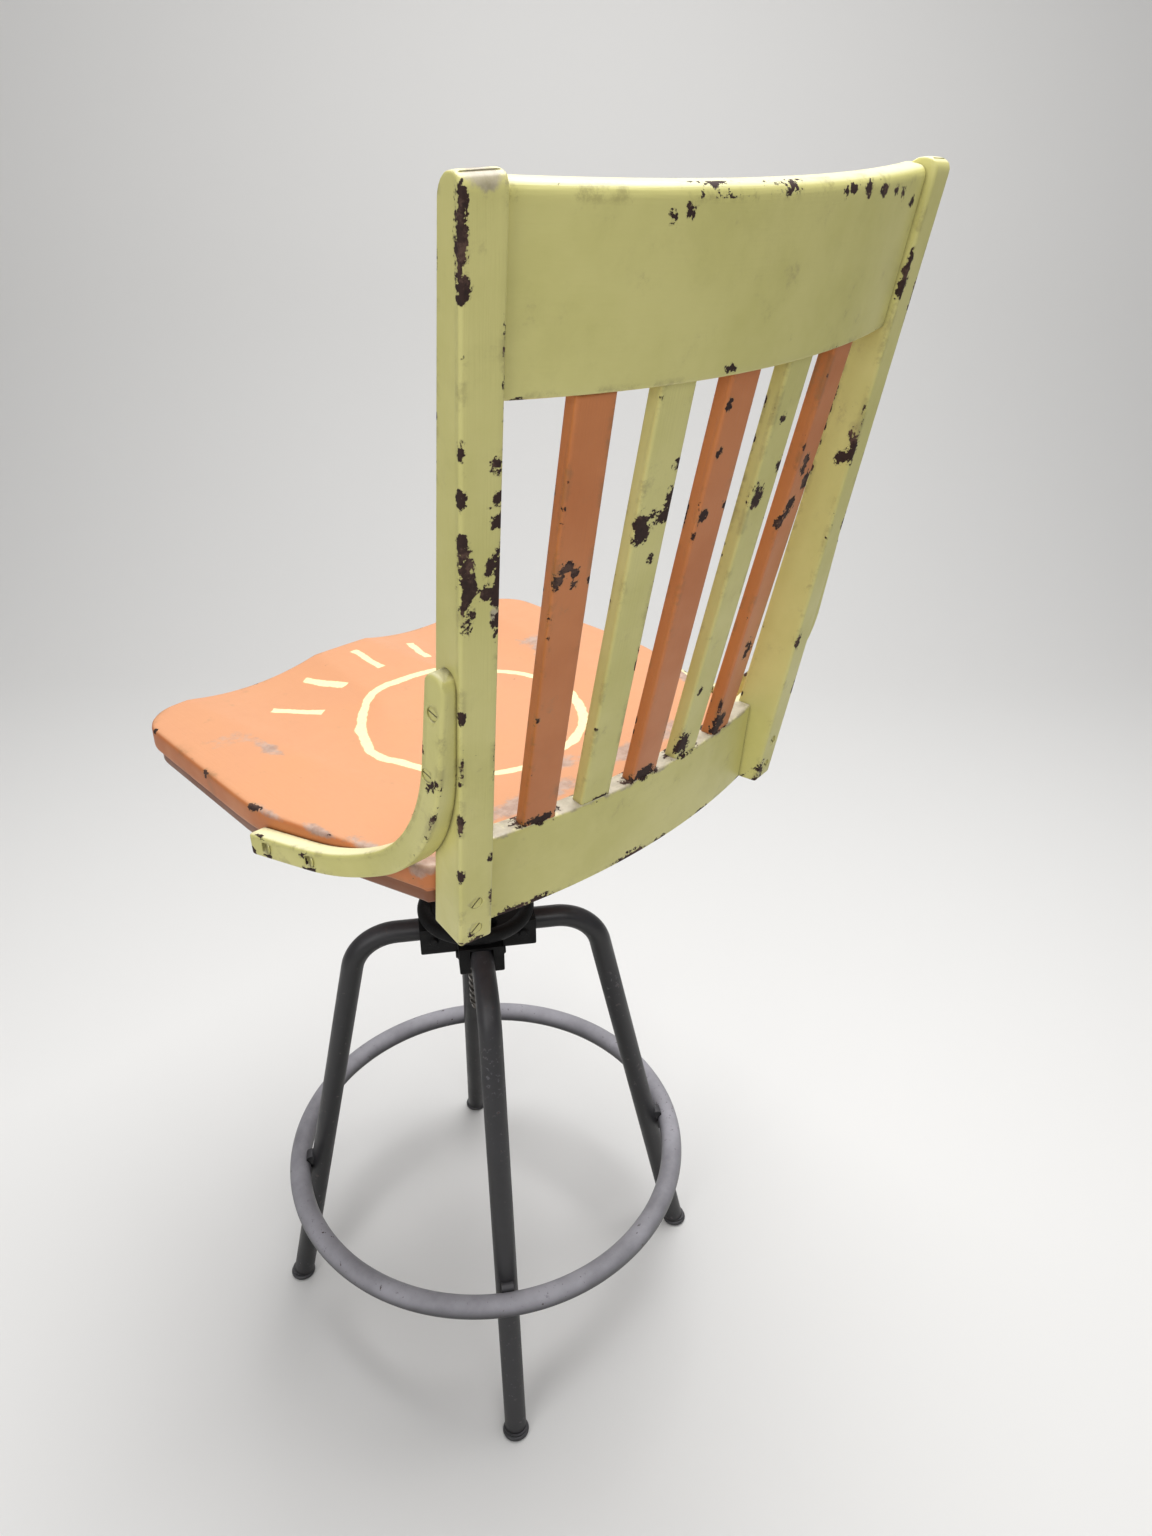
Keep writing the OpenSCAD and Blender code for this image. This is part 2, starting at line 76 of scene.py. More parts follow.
# Tube frame: each leg comes level out of the hub, bends, and runs down to the foot.
TUBE_R, BEND_R, LEG_TOP_Z, FOOT_R, CORNER_R, LEG_AZ = 11.1, 48.0, 491.6, 226.5, 117.6, 55.25
HUB_R, TUBE_FOOT_Z = 27.0, 3.2
RING_Z = (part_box("foot_ring")[0].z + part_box("foot_ring")[1].z) / 2 / MM
RING_R = (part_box("foot_ring")[1].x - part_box("foot_ring")[0].x) / 2 / MM - TUBE_R


# ---------------------------------------------------------------- shapes
def deg(a):
    return math.radians(a)


def turned(rx, ry, rz):
    """The part's own order of turns: about X, then Y, then Z."""
    about_x, about_y = Matrix.Rotation(deg(rx), 3, "X"), Matrix.Rotation(deg(ry), 3, "Y")
    return np.array(Matrix.Rotation(deg(rz), 3, "Z") @ about_y @ about_x)


def placed(points, origin, turn):
    return np.asarray(points) @ turn.T + np.asarray(origin)


def softened(corners, radii, counts):
    """Outline with rounded corners and so many points along each side, and how near each is to an arris."""
    turns, margin, on_arris, on_face = 4, 3.0, 1.0, 0.1
    pts, near, cuts = [], [], []
    corners = np.asarray(corners, float)
    n = len(corners)
    for i in range(n):
        p, before, after = corners[i], corners[i - 1], corners[(i + 1) % n]
        u, v = before - p, after - p
        u, v = u / np.linalg.norm(u), v / np.linalg.norm(v)
        half = math.acos(max(-1, min(1, float(u @ v)))) / 2
        cuts.append((p, u, v, half, radii[i] / math.tan(half)))
    for i in range(n):
        p, u, v, half, cut = cuts[i]
        middle = p + (u + v) / np.linalg.norm(u + v) * radii[i] / math.sin(half)
        start, end = p + u * cut - middle, p + v * cut - middle
        sweep = math.pi - 2 * half
        for k in range(turns + 1):
            f = k / turns
            spoke = start * math.sin((1 - f) * sweep) + end * math.sin(f * sweep)
            pts.append(middle + spoke / math.sin(sweep))
            near.append(on_arris)
        q = p + v * cut
        length = np.linalg.norm(corners[(i + 1) % n] - p) - cut - cuts[(i + 1) % n][4]
        inset = min(margin, length / 3)
        for k in range(counts[i]):
            pts.append(q + v * (inset + (length - 2 * inset) * k / (counts[i] - 1)))
            near.append(on_face)
    return np.array(pts), np.array(near)


def bar_section(width, depth, radius, wide=6, deep=5):
    """A bar's section with softened arrises, and so many points across its width and its depth."""
    w, d = width / 2, depth / 2
    return softened([(w, d), (-w, d), (-w, -d), (w, -d)], [radius] * 4, (wide, deep, wide, deep))


def softened_ends(length, radius, step):
    """Stations along a bar, crowded at both ends, with how far the section draws in at each."""
    quarter = np.linspace(0, math.pi / 2, 5)
    ends = [(radius * (1 - math.cos(a)), radius * (1 - math.sin(a))) for a in quarter]
    n = max(int((length - 2 * radius) / step), 2)
    between = [(radius + (length - 2 * radius) * i / n, 0.0) for i in range(1, n)]
    return ends + between + [(length - a, b) for a, b in reversed(ends)]


def loft(name, rings, near, closed_path=False, chips=(), rubs=(), own=None):
    """Skins rings of points, in millimetres from the spindle, and stores what the paint needs on each.
    Chips and rubs are (centre, reach) in the piece's own coordinates, where those are given."""
    rings = np.asarray(rings, float)
    count, size = rings.shape[:2]
    co = rings.reshape(-1, 3)
    faces = []
    for s in range(count if closed_path else count - 1):
        t = (s + 1) % count
        for i in range(size):
            j = (i + 1) % size
            faces.append((s * size + i, s * size + j, t * size + j, t * size + i))
    if not closed_path:
        faces.append(tuple(range(size - 1, -1, -1)))
        faces.append(tuple((count - 1) * size + i for i in range(size)))
    steps = np.linalg.norm(np.diff(rings.mean(1), axis=0), axis=1)
    run = np.concatenate([[0.0], np.cumsum(steps)])
    steps = np.linalg.norm(np.diff(rings[count // 2], axis=0), axis=1)
    around = np.concatenate([[0.0], np.cumsum(steps)])
    lay = np.stack([np.repeat(run, size), np.tile(around, count), np.zeros(count * size)], 1)
    arris = np.tile(near, count) if np.ndim(near) == 1 else np.asarray(near).reshape(-1)
    own = co if own is None else np.asarray(own).reshape(-1, 3)
    return skin(name, co, faces, lay, arris, chips, rubs, own)


def stored(mesh, label, values, kind="FLOAT", field="value"):
    """Keeps one number, or one vector, on each point of a mesh for the paint to read."""
    data = mesh.attributes.new(label, kind, "POINT").data
    data.foreach_set(field, np.asarray(values, np.float32).ravel())


def skin(name, co, faces, lay, arris, chips, rubs, own):
    mesh = bpy.data.meshes.new(name)
    mesh.from_pydata([tuple(p) for p in (co * MM + AXIS)], [], faces)
    stored(mesh, "lay", lay * MM, "FLOAT_VECTOR", "vector")
    stored(mesh, "arris", arris)
    fade = 1.5
    for label, places in (("chip", chips), ("rub", rubs)):
        harm = np.zeros(len(co), np.float32)
        for centre, reach in places:
            d = np.linalg.norm((own - np.asarray(centre)) / np.asarray(reach), axis=1)
            harm = np.maximum(harm, np.clip(fade - d, 0, fade) / fade)
        stored(mesh, label, harm)
    mesh.polygons.foreach_set("use_smooth", [True] * len(mesh.polygons))
    mesh.update()
    obj = bpy.data.objects.new(name, mesh)
    bpy.context.scene.collection.objects.link(obj)
    return obj


def made(obj, body, material, slot, *stands_for):
    """Gives a shape its finish, the body that it rides on, and the pieces that it stands for."""
    obj.data.materials.append(material)
    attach(obj, body)
    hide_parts(*stands_for)


# ---------------------------------------------------------------- finishes
A, B = 6, 7  # where a colour mix takes its two colours
COLOUR = {"out": 2, "data_type": "RGBA"}
SOFT = {"interpolation_type": "SMOOTHSTEP"}


def linear(hexcode):
    """An sRGB hex colour as linear RGBA."""
    shares = [int(hexcode[i:i + 2], 16) / 255 for i in (1, 3, 5)]
    return [v / 12.92 if v <= 0.04045 else ((v + 0.055) / 1.055) ** 2.4 for v in shares] + [1.0]


def add(mat, kind, *values, into=(), out=0, **settings):
    """Adds one shader node with its settings and gives back one of its outputs.
    Values fill the inputs in order, and into names any others. A socket is linked, all else is set."""
    node = mat.node_tree.nodes.new("ShaderNode" + kind)
    for key, setting in settings.items():
        setattr(node, key, setting)
    for key, value in [*enumerate(values), *dict(into).items()]:
        if isinstance(value, bpy.types.NodeSocket):
            mat.node_tree.links.new(value, node.inputs[key])
        else:
            node.inputs[key].default_value = value
    return node.outputs[out] if node.outputs else None


def new_material(name):
    mat = bpy.data.materials.new(name)
    mat.use_nodes = True
    mat.node_tree.nodes.clear()
    return mat


def per_mm(size):
    """A texture scale whose features are this many millimetres across."""
    return 1.0 / (size * MM)


def brushed_paint_on_timber(name, paint, shade, strokes=None):
    """Household gloss brushed over old varnish: a soft sheen, drag lines along each piece, and chips
    that go down to dark wood."""
    mat = new_material(name)
    place = add(mat, "TexCoord", out="Object")
    facing = add(mat, "SeparateXYZ", add(mat, "NewGeometry", out="Normal"), out="Z")
    lay = add(mat, "Attribute", attribute_name="lay", out="Vector")
    arris, chip, rub = (add(mat, "Attribute", attribute_name=label, out="Fac")
                        for label in ("arris", "chip", "rub"))

    # Flakes fray over about 8 mm and specks over 2 mm; wear, dirt and tone drift over 26 to 90 mm.
    ragged = add(mat, "TexNoise", place, into={"Scale": per_mm(8), "Detail": 7, "Roughness": 0.66})
    fine = add(mat, "TexNoise", place, into={"Scale": per_mm(2.2), "Detail": 4})
    patch = add(mat, "TexNoise", place, into={"Scale": per_mm(55), "Detail": 3})
    cloud = add(mat, "TexNoise", place, into={"Scale": per_mm(90), "Detail": 4, "Roughness": 0.6})
    grime = add(mat, "TexNoise", place, into={"Scale": per_mm(26), "Detail": 8, "Roughness": 0.72})

    # Chips: ragged where a knock was, in patches along the arrises, and a few loose specks.
    frayed = add(mat, "Math", ragged, 2.6, -1.8, operation="MULTIPLY_ADD")
    frayed = add(mat, "Math", frayed, fine, operation="ADD")
    near_knock = add(mat, "MapRange", chip, 0.0, 0.2, **SOFT)
    knock = add(mat, "Math", frayed, near_knock, chip, operation="MULTIPLY_ADD")
    worn = add(mat, "Math", patch, 0.55, operation="MULTIPLY")
    worn = add(mat, "Math", ragged, 0.55, worn, operation="MULTIPLY_ADD")
    worn = add(mat, "Math", arris, 0.34, worn, operation="MULTIPLY_ADD")
    speck = add(mat, "Math", patch, 0.62, operation="MULTIPLY")
    speck = add(mat, "Math", fine, 0.62, speck, operation="MULTIPLY_ADD")
    bare = add(mat, "MapRange", knock, 0.366, 0.394, **SOFT)
    for field, sound, gone in ((worn, 0.98, 1.0), (speck, 0.875, 0.895)):
        bare = add(mat, "Math", bare, add(mat, "MapRange", field, sound, gone, **SOFT), operation="MAXIMUM")

    # Brush drag: a real brush leaves finer lines; they are drawn 1.5 mm apart so that they show.
    stretch = add(mat, "VectorMath", lay, (per_mm(45), per_mm(1.5), 1.0), operation="MULTIPLY")
    drag = add(mat, "TexNoise", stretch, into={"Scale": 1.0, "Detail": 3, "Roughness": 0.5})

    # The sound paint, with its tone drifting and a darker tint in the drag lines.
    tone = add(mat, "MapRange", cloud, 0.30, 0.74, **SOFT)
    tint = add(mat, "Math", drag, 0.10, operation="MULTIPLY")
    colour = linear(paint)
    for share in (tone, tint):
        colour = add(mat, "Mix", share, into={A: colour, B: linear(shade)}, **COLOUR)
    if strokes:
        colour = strokes(mat, place, facing, ragged, fine, colour)
    else:
        # Painted sheen: where the surface faces up the paint is mixed toward pale cream, standing in for the
        # light on top faces.
        painted_sheen_on_top = add(mat, "MapRange", facing, 0.47, 0.97, 0.0, 0.5, **SOFT)
        colour = add(mat, "Mix", painted_sheen_on_top, into={A: colour, B: linear("#f0ead2")}, **COLOUR)

    # What lies over it, from painted shade and dirt in the corners to the bare wood.
    # Painted shade and dirt: ambient occlusion darkens corners, joints and screw slots toward dark brown,
    # standing in for the shade there as well as for packed dirt.
    corner = add(mat, "AmbientOcclusion", into={"Distance": 5 * MM}, out="AO", samples=6)
    corner_shade_and_dirt = add(mat, "MapRange", corner, 0.72, 0.28, 0.0, 0.6, **SOFT)
    smear = add(mat, "MapRange", grime, 0.59, 0.73, 0.0, 0.30, **SOFT)
    thin = add(mat, "Math", patch, 0.4, grime, operation="MULTIPLY_ADD")
    thin = add(mat, "MapRange", thin, 0.70, 0.82, 0.0, 0.30, **SOFT)
    thin = add(mat, "Math", thin, arris, operation="MULTIPLY")
    halo = add(mat, "MapRange", knock, 0.17, 0.37, 0.0, 0.30, **SOFT)
    rubbed = add(mat, "Math", grime, 1.6, -0.8, operation="MULTIPLY_ADD")
    rubbed = add(mat, "Math", rubbed, rub, operation="ADD")
    rubbed = add(mat, "MapRange", rubbed, 0.30, 0.62, 0.0, 0.7, **SOFT)
    mottle = add(mat, "MapRange", ragged, 0.3, 0.7, **SOFT)
    undercoat = add(mat, "Mix", mottle, into={A: linear("#b3a79f"), B: linear("#8a7d78")}, **COLOUR)
    bleached = add(mat, "MapRange", grime, 0.51, 0.61, **SOFT)
    wood = add(mat, "Mix", bleached, into={A: linear("#35201a"), B: linear("#5b4338")}, **COLOUR)
    pores = add(mat, "MapRange", fine, 0.55, 0.65, 0.0, 0.5, **SOFT)
    wood = add(mat, "Mix", pores, into={A: wood, B: linear("#1f1210")}, **COLOUR)
    coats = ((corner_shade_and_dirt, linear("#4b3a28")), (smear, linear("#8c7a5c")), (thin, linear("#6b5b3c")),
             (halo, linear("#8d7f55")), (rubbed, undercoat), (bare, wood))
    for share, coat in coats:
        colour = add(mat, "Mix", share, into={A: colour, B: coat}, **COLOUR)

    # The film of paint stands a little proud of the wood, and the wood in the chips is dull. Old oil
    # gloss has an IOR of about 1.48 and keeps only part of its shine.
    rough = add(mat, "MapRange", cloud, 0.35, 0.65, 0.34, 0.50)
    dull = add(mat, "Math", bare, 0.82, operation="MULTIPLY")
    rough = add(mat, "Math", rough, dull, operation="MAXIMUM")
    height = add(mat, "Math", bare, -0.6, 0.6, operation="MULTIPLY_ADD")
    for field, share in ((drag, 0.22), (cloud, 0.9), (fine, 0.05)):
        height = add(mat, "Math", field, share, height, operation="MULTIPLY_ADD")
    normal = add(mat, "Bump", into={"Height": height, "Strength": 0.8, "Distance": 0.9 * MM})
    look = {"Base Color": colour, "Roughness": rough, "Normal": normal, "IOR": 1.48}
    add(mat, "OutputMaterial", add(mat, "BsdfPrincipled", into=look))
    return mat


def seat_strokes(mat, place, facing, ragged, fine, under):
    """The seat's own brushwork over its first coat: paler where it faces up as a painted sheen, painted dark
    under the step as painted shade, with a pale hand-brushed ring and five plain strokes fanned out in front
    of it."""
    ring_r, fan_r, half_length, half_width, soft = 99 * MM, 160 * MM, 24 * MM, 4.2 * MM, 0.6 * MM
    spread, first, strokes = deg(20), deg(-140), 5
    waver, fray = 16 * MM, 4 * MM
    middle = (AXIS[0], AXIS[1] + 10 * MM, SEAT_TOP * MM)
    drift = add(mat, "TexNoise", place, into={"Scale": per_mm(60), "Detail": 2}, out="Color")
    drift = add(mat, "VectorMath", drift, [waver] * 3, [-waver / 2] * 3, operation="MULTIPLY_ADD")
    at = add(mat, "VectorMath", place, middle, operation="SUBTRACT")
    at = add(mat, "VectorMath", at, drift, operation="ADD")
    east, north, up = (add(mat, "SeparateXYZ", at, out=axis) for axis in "XYZ")
    out = add(mat, "VectorMath", at, (1.0, 1.0, 0.0), operation="MULTIPLY")
    out = add(mat, "VectorMath", out, operation="LENGTH", out="Value")
    wobble = add(mat, "Math", ragged, fray, -fray / 2, operation="MULTIPLY_ADD")

    # How far each place lies from the ring's line, and from the line and the middle of its stroke.
    off_ring, along = (add(mat, "Math", add(mat, "Math", out, r, operation="SUBTRACT"), operation="ABSOLUTE")
                       for r in (ring_r, fan_r))
    turn = add(mat, "Math", north, east, operation="ARCTAN2")
    turn = add(mat, "Math", turn, first, operation="SUBTRACT")
    turn = add(mat, "Math", turn, spread, operation="DIVIDE")
    which = add(mat, "Math", turn, operation="FLOOR")
    across = add(mat, "Math", turn, which, operation="SUBTRACT")
    across = add(mat, "Math", across, 0.5, operation="SUBTRACT")
    across = add(mat, "Math", across, operation="ABSOLUTE")
    across = add(mat, "Math", across, out, operation="MULTIPLY")
    across = add(mat, "Math", across, spread, operation="MULTIPLY")
    ring, slim, short = (
        add(mat, "MapRange", add(mat, "Math", off, wobble, operation="ADD"), half + soft, half - soft, **SOFT)
        for off, half in ((off_ring, half_width), (across, half_width), (along, half_length)))
    one_of_them = add(mat, "Math", which, (strokes - 1) / 2, strokes / 2, operation="COMPARE")

    # The pale paint is thin, so the seat's colour shows through it in places.
    cover = add(mat, "MapRange", fine, 0.3, 0.5, 0.75, 0.97)
    top = add(mat, "MapRange", up, -21 * MM, -17 * MM, **SOFT)
    pale = add(mat, "Math", slim, short, operation="MULTIPLY")
    pale = add(mat, "Math", pale, one_of_them, operation="MULTIPLY")
    pale = add(mat, "Math", pale, ring, operation="MAXIMUM")
    pale = add(mat, "Math", pale, top, operation="MULTIPLY")
    pale = add(mat, "Math", pale, cover, operation="MULTIPLY")
    # Painted sheen: the seat's paint goes paler where its top faces up, standing in for the light on it.
    painted_sheen_on_top = add(mat, "MapRange", facing, 0.45, 0.95, 0.0, 0.72, **SOFT)
    # Painted shade: below the step the seat's edge is painted dark brown, standing in for the shadow under
    # its rim.
    painted_shade_under_step = add(mat, "MapRange", up, -20.6 * MM, -21.8 * MM, 0.0, 0.72, **SOFT)
    for share, coat in ((painted_sheen_on_top, "#d29d77"), (painted_shade_under_step, "#4a2817"), (pale, "#f2e9b4")):
        under = add(mat, "Mix", share, into={A: under, B: linear(coat)}, **COLOUR)
    return under


def black_enamel(name, sound, thin, rubbed):
    """Old black enamel on steel: low gloss, rubbed grey where shoes rest, small brown rust spots, and
    pale grey on what faces up, part dust and part painted sheen."""
    mat = new_material(name)
    place = add(mat, "TexCoord", out="Object")
    facing = add(mat, "SeparateXYZ", add(mat, "NewGeometry", out="Normal"), out="Z")
    # The film wears over about 60 mm and rusts in 5 mm spots; its grit is drawn at 1.2 mm so that it shows.
    film = add(mat, "TexNoise", place, into={"Scale": per_mm(60), "Detail": 7, "Roughness": 0.62})
    spot = add(mat, "TexNoise", place, into={"Scale": per_mm(5), "Detail": 5, "Roughness": 0.6})
    grit = add(mat, "TexNoise", place, into={"Scale": per_mm(1.2), "Detail": 3})
    # Dust and painted sheen: what faces up is mixed toward a pale grey, as much for the light on top as for
    # dust.
    faces_up = add(mat, "MapRange", facing, -0.35, 0.95, **SOFT)
    dust_and_sheen = add(mat, "MapRange", film, 0.3, 0.65, 0.55 * rubbed, rubbed)
    dust_and_sheen = add(mat, "Math", faces_up, dust_and_sheen, operation="MULTIPLY")
    scuff = add(mat, "Math", film, 0.5, spot, operation="MULTIPLY_ADD")
    scuff = add(mat, "MapRange", scuff, 0.89, 0.97, 0.0, 0.4, **SOFT)
    rust = add(mat, "MapRange", spot, 0.64, 0.70, **SOFT)
    rust = add(mat, "Math", rust, add(mat, "MapRange", film, 0.4, 0.6, **SOFT), operation="MULTIPLY")
    colour = linear(sound)
    worn = add(mat, "MapRange", film, 0.36, 0.68, **SOFT)
    for share, coat in ((worn, thin), (dust_and_sheen, "#aeacb3"), (scuff, "#7d7a80"), (rust, "#3d2a20")):
        colour = add(mat, "Mix", share, into={A: colour, B: linear(coat)}, **COLOUR)
    # Enamel has an IOR of about 1.5; this one has worn to a satin, and is matt where the pale dust and
    # painted sheen lie.
    rough = add(mat, "MapRange", film, 0.35, 0.7, 0.34, 0.58)
    dull = add(mat, "Math", dust_and_sheen, 0.8, operation="MULTIPLY")
    rough = add(mat, "Math", rough, dull, operation="MAXIMUM")
    height = add(mat, "Math", grit, 0.3, operation="MULTIPLY")
    height = add(mat, "Math", spot, 0.5, height, operation="MULTIPLY_ADD")
    normal = add(mat, "Bump", into={"Height": height, "Strength": 0.35, "Distance": 0.6 * MM})
    look = {"Base Color": colour, "Roughness": rough, "Normal": normal, "IOR": 1.5}
    add(mat, "OutputMaterial", add(mat, "BsdfPrincipled", into=look))
    return mat


def enamelled_casting(name):
    """Sand-cast iron under thin black enamel, painted darker still as shade under the seat: a pebbled skin
    with dull grey high spots.
    """
    mat = new_material(name)
    place = add(mat, "TexCoord", out="Object")
    # Moulding sand leaves grains of about 0.5 mm; they are drawn at 1.8 mm so that they show.
    sand = add(mat, "TexNoise", place, into={"Scale": per_mm(1.8), "Detail": 5, "Roughness": 0.6})
    grime = add(mat, "TexNoise", place, into={"Scale": per_mm(22), "Detail": 6})
    greasy = add(mat, "MapRange", grime, 0.43, 0.67, **SOFT)
    high = add(mat, "MapRange", sand, 0.59, 0.69, 0.0, 0.2, **SOFT)
    # Painted shade: the base is near black, darker than the tubes' enamel, standing in for the shade under
    # the seat.
    colour = linear("#050505")
    for share, coat in ((greasy, "#0c0b0b"), (high, "#2c2a2b")):
        colour = add(mat, "Mix", share, into={A: colour, B: linear(coat)}, **COLOUR)
    rough = add(mat, "MapRange", grime, 0.35, 0.7, 0.55, 0.8)
    normal = add(mat, "Bump", into={"Height": sand, "Strength": 0.5, "Distance": 0.8 * MM})
    look = {"Base Color": colour, "Roughness": rough, "Normal": normal, "IOR": 1.5, "Specular IOR Level": 0.3}
    add(mat, "OutputMaterial", add(mat, "BsdfPrincipled", into=look))
    return mat


def oiled_metal(name, bright, dull):
    """Turned metal under old oil: a warm dull gleam with dark patches here and there."""
    mat = new_material(name)
    place = add(mat, "TexCoord", out="Object")
    film = add(mat, "TexNoise", place, into={"Scale": per_mm(12), "Detail": 6, "Roughness": 0.65})
    # A lathe's cuts lie about 0.2 mm apart; they are drawn at 0.9 mm so that they show.
    cut = add(mat, "TexNoise", place, into={"Scale": per_mm(0.9), "Detail": 2})
    oil = add(mat, "MapRange", film, 0.35, 0.65, **SOFT)
    colour = add(mat, "Mix", oil, into={A: linear(bright), B: linear(dull)}, **COLOUR)
    rough = add(mat, "MapRange", film, 0.35, 0.7, 0.28, 0.6)
    normal = add(mat, "Bump", into={"Height": cut, "Strength": 0.2, "Distance": 0.3 * MM})
    look = {"Base Color": colour, "Roughness": rough, "Normal": normal, "Metallic": 1.0}
    add(mat, "OutputMaterial", add(mat, "BsdfPrincipled", into=look))
    return mat


# Lime-yellow gloss brushed on oak: full and warm, with a painted milky sheen where it faces up, dark at every
# chip.
yellow = brushed_paint_on_timber("brushed_lime_gloss_on_oak", "#dcd58b", "#cfc97c")
# Salmon gloss brushed on oak: strong and even on the upright slats.
orange = brushed_paint_on_timber("brushed_salmon_gloss_on_oak", "#d1824a", "#c67640")
# The same gloss on the seat: paler on top as a painted sheen, painted dark under its step as painted shade,
# sat on, with the pale brushwork on top.
seat_paint = brushed_paint_on_timber("brushed_salmon_gloss_on_seat", "#d1824a", "#c07040", seat_strokes)
# Black enamel on tube: deep and satin, with only a trace of dust and painted sheen on top.
leg_black = black_enamel("black_enamel_on_tube", "#090909", "#151516", 0.16)
# The same enamel on the foot ring: its top is painted a cool dull grey, part shoe rubbing and part painted
# sheen.
ring_black = black_enamel("black_enamel_rubbed_with_painted_sheen", "#1c1b1d", "#343337", 1.0)
# Enamel on a rough casting, painted darker than the tubes as shade under the seat: almost no light comes back
# from it.
casting_black_with_painted_shade = enamelled_casting("black_enamel_on_casting_darkened_as_shade")
# Oiled steel: a grey gleam that goes brown in patches.
steel = oiled_metal("oiled_turned_steel", "#8d8983", "#3b3733")
# Bearing bronze: a dull gold line between the black pieces.
bronze = oiled_metal("dull_bearing_bronze", "#a58451", "#5a472c")


# ---------------------------------------------------------------- timber
def sided(rings, side):
    """Rings as drawn for the left side, or mirrored with their points in reverse for the right."""
    rings = np.array(rings, float)
    if side < 0:
        rings[..., 0] *= -1
        rings = rings[:, ::-1]
    return rings


def back_post(name, side, chips, rubs=()):
    """A tapered post with a rounded top, cut on a slant at the foot."""
    turn = turned(*POST_LEAN)
    lean = math.cos(deg(CREST_RAKE))
    front_round, back_round, foot_slant, station = 14.0, 7.0, 6.1, 3.0
    least_depth, arris_share, arris_limit = 4.5, 0.8, 1.2
    rings, own, near = [], [], None
    for z, draw in softened_ends(POST_LEN, POST_ARRIS, station):
        depth = (POST_FOOT_D + (POST_TOP_D - POST_FOOT_D) * z / POST_LEN) * lean
        y0, y1 = -depth, 0.0
        if z > POST_LEN - front_round:
            y0 += front_round - math.sqrt(max(front_round ** 2 - (z - POST_LEN + front_round) ** 2, 0))
        if z > POST_LEN - back_round:
            y1 -= back_round - math.sqrt(max(back_round ** 2 - (z - POST_LEN + back_round) ** 2, 0))
        arris = POST_ARRIS - min(draw, arris_limit) * arris_share
        section, near = bar_section(POST_W - 2 * draw, max(y1 - y0 - 2 * draw, least_depth), arris)
        slant = -foot_slant * (1 - z / POST_LEN) ** 6
        pts = [(-POST_W / 2 + x, (y0 + y1) / 2 + y, z + slant * (0.5 - y / depth)) for x, y in section]
        own.append(pts)
        rings.append(placed(pts, POST_FOOT, turn))
    own = np.array(own) if side > 0 else np.array(own)[:, ::-1]
    near = near if side > 0 else near[::-1]
    return loft(name, sided(rings, side), near, chips=chips, rubs=rubs, own=own)


def rounded_over(depth, height, nose):
    """A rail's section with its top rounded over: corners as (depth from the rear face, height up it)."""
    return [(0.0, 0.0), (0.0, height), (-depth, height), (-depth, 0.0)], [2.0, nose, nose, 2.0]


def bowed_rail(name, foot, bend, rake, half_width, shape, chips, rubs=()):
    """A rail of a given section, bent to a radius and leaned back."""
    corners, radii = shape
    up_face, across_edge, stations = int(corners[1][1] / 5), 4, 130
    section, near = softened(corners, radii, (up_face, across_edge) * 2)
    half_angle = math.degrees(math.asin(half_width / bend))
    turn = turned(-rake, 0, 0)
    rings, own = [], []
    for a in np.linspace(-half_angle, half_angle, stations):
        east, north = math.sin(deg(a)), math.cos(deg(a))
        pts = [((bend + d) * east, (bend + d) * north - bend, z) for d, z in section]
        rings.append(placed(pts, foot, turn))
        own.append([(bend * east, d, z) for d, z in section])
    return loft(name, rings, near, chips=chips, rubs=rubs, own=own)


def slat_ends(i):
    """The middles of a slat's foot and head, where it meets the two rails."""
    fx, hx = i * SLAT_FOOT_PITCH, i * SLAT_TOP_PITCH
    face = LOW_FOOT[1] + math.sin(deg(LOW_RAKE)) * LOW_H + math.sqrt(LOW_R ** 2 - fx ** 2) - LOW_R
    fy = face - SLAT_T / 2 - SLAT_FOOT_SET
    face = CREST_FOOT[1] + math.sqrt(CREST_R ** 2 - hx ** 2) - CREST_R
    hy = face - SLAT_T / 2 - SLAT_TOP_SET
    return np.array([fx, fy, LOW_FOOT[2] + LOW_H]), np.array([hx, hy, CREST_FOOT[2]])


def slat(name, i, chips):
    """A flat slat, turned to follow the rails' bend, with its ends let into them."""
    arris, stations = 2.0, 110
    foot, head = slat_ends(i)
    turn_z = -math.degrees(math.asin((foot[0] + head[0]) / (LOW_R + CREST_R)))
    length = np.linalg.norm(head - foot)
    d = turned(0, 0, turn_z).T @ ((head - foot) / length)
    turn = turned(-math.degrees(math.asin(d[1])), math.degrees(math.atan2(d[0], d[2])), turn_z)
    section, near = bar_section(SLAT_W, SLAT_T, arris, 7, 3)
    along = np.linspace(-SLAT_TENON, length + SLAT_TENON, stations)
    own = [[(x, y, z) for x, y in section] for z in along]
    rings = [placed(pts, foot, turn) for pts in own]
    return loft(name, rings, near, chips=chips, own=own)


def seat_side(y):
    """How far out the seat's tapered side lies."""
    return SEAT_HALF - (y - TAPER_Y0) * (SEAT_HALF - SEAT_REAR_HALF) / (TAPER_Y1 - TAPER_Y0)


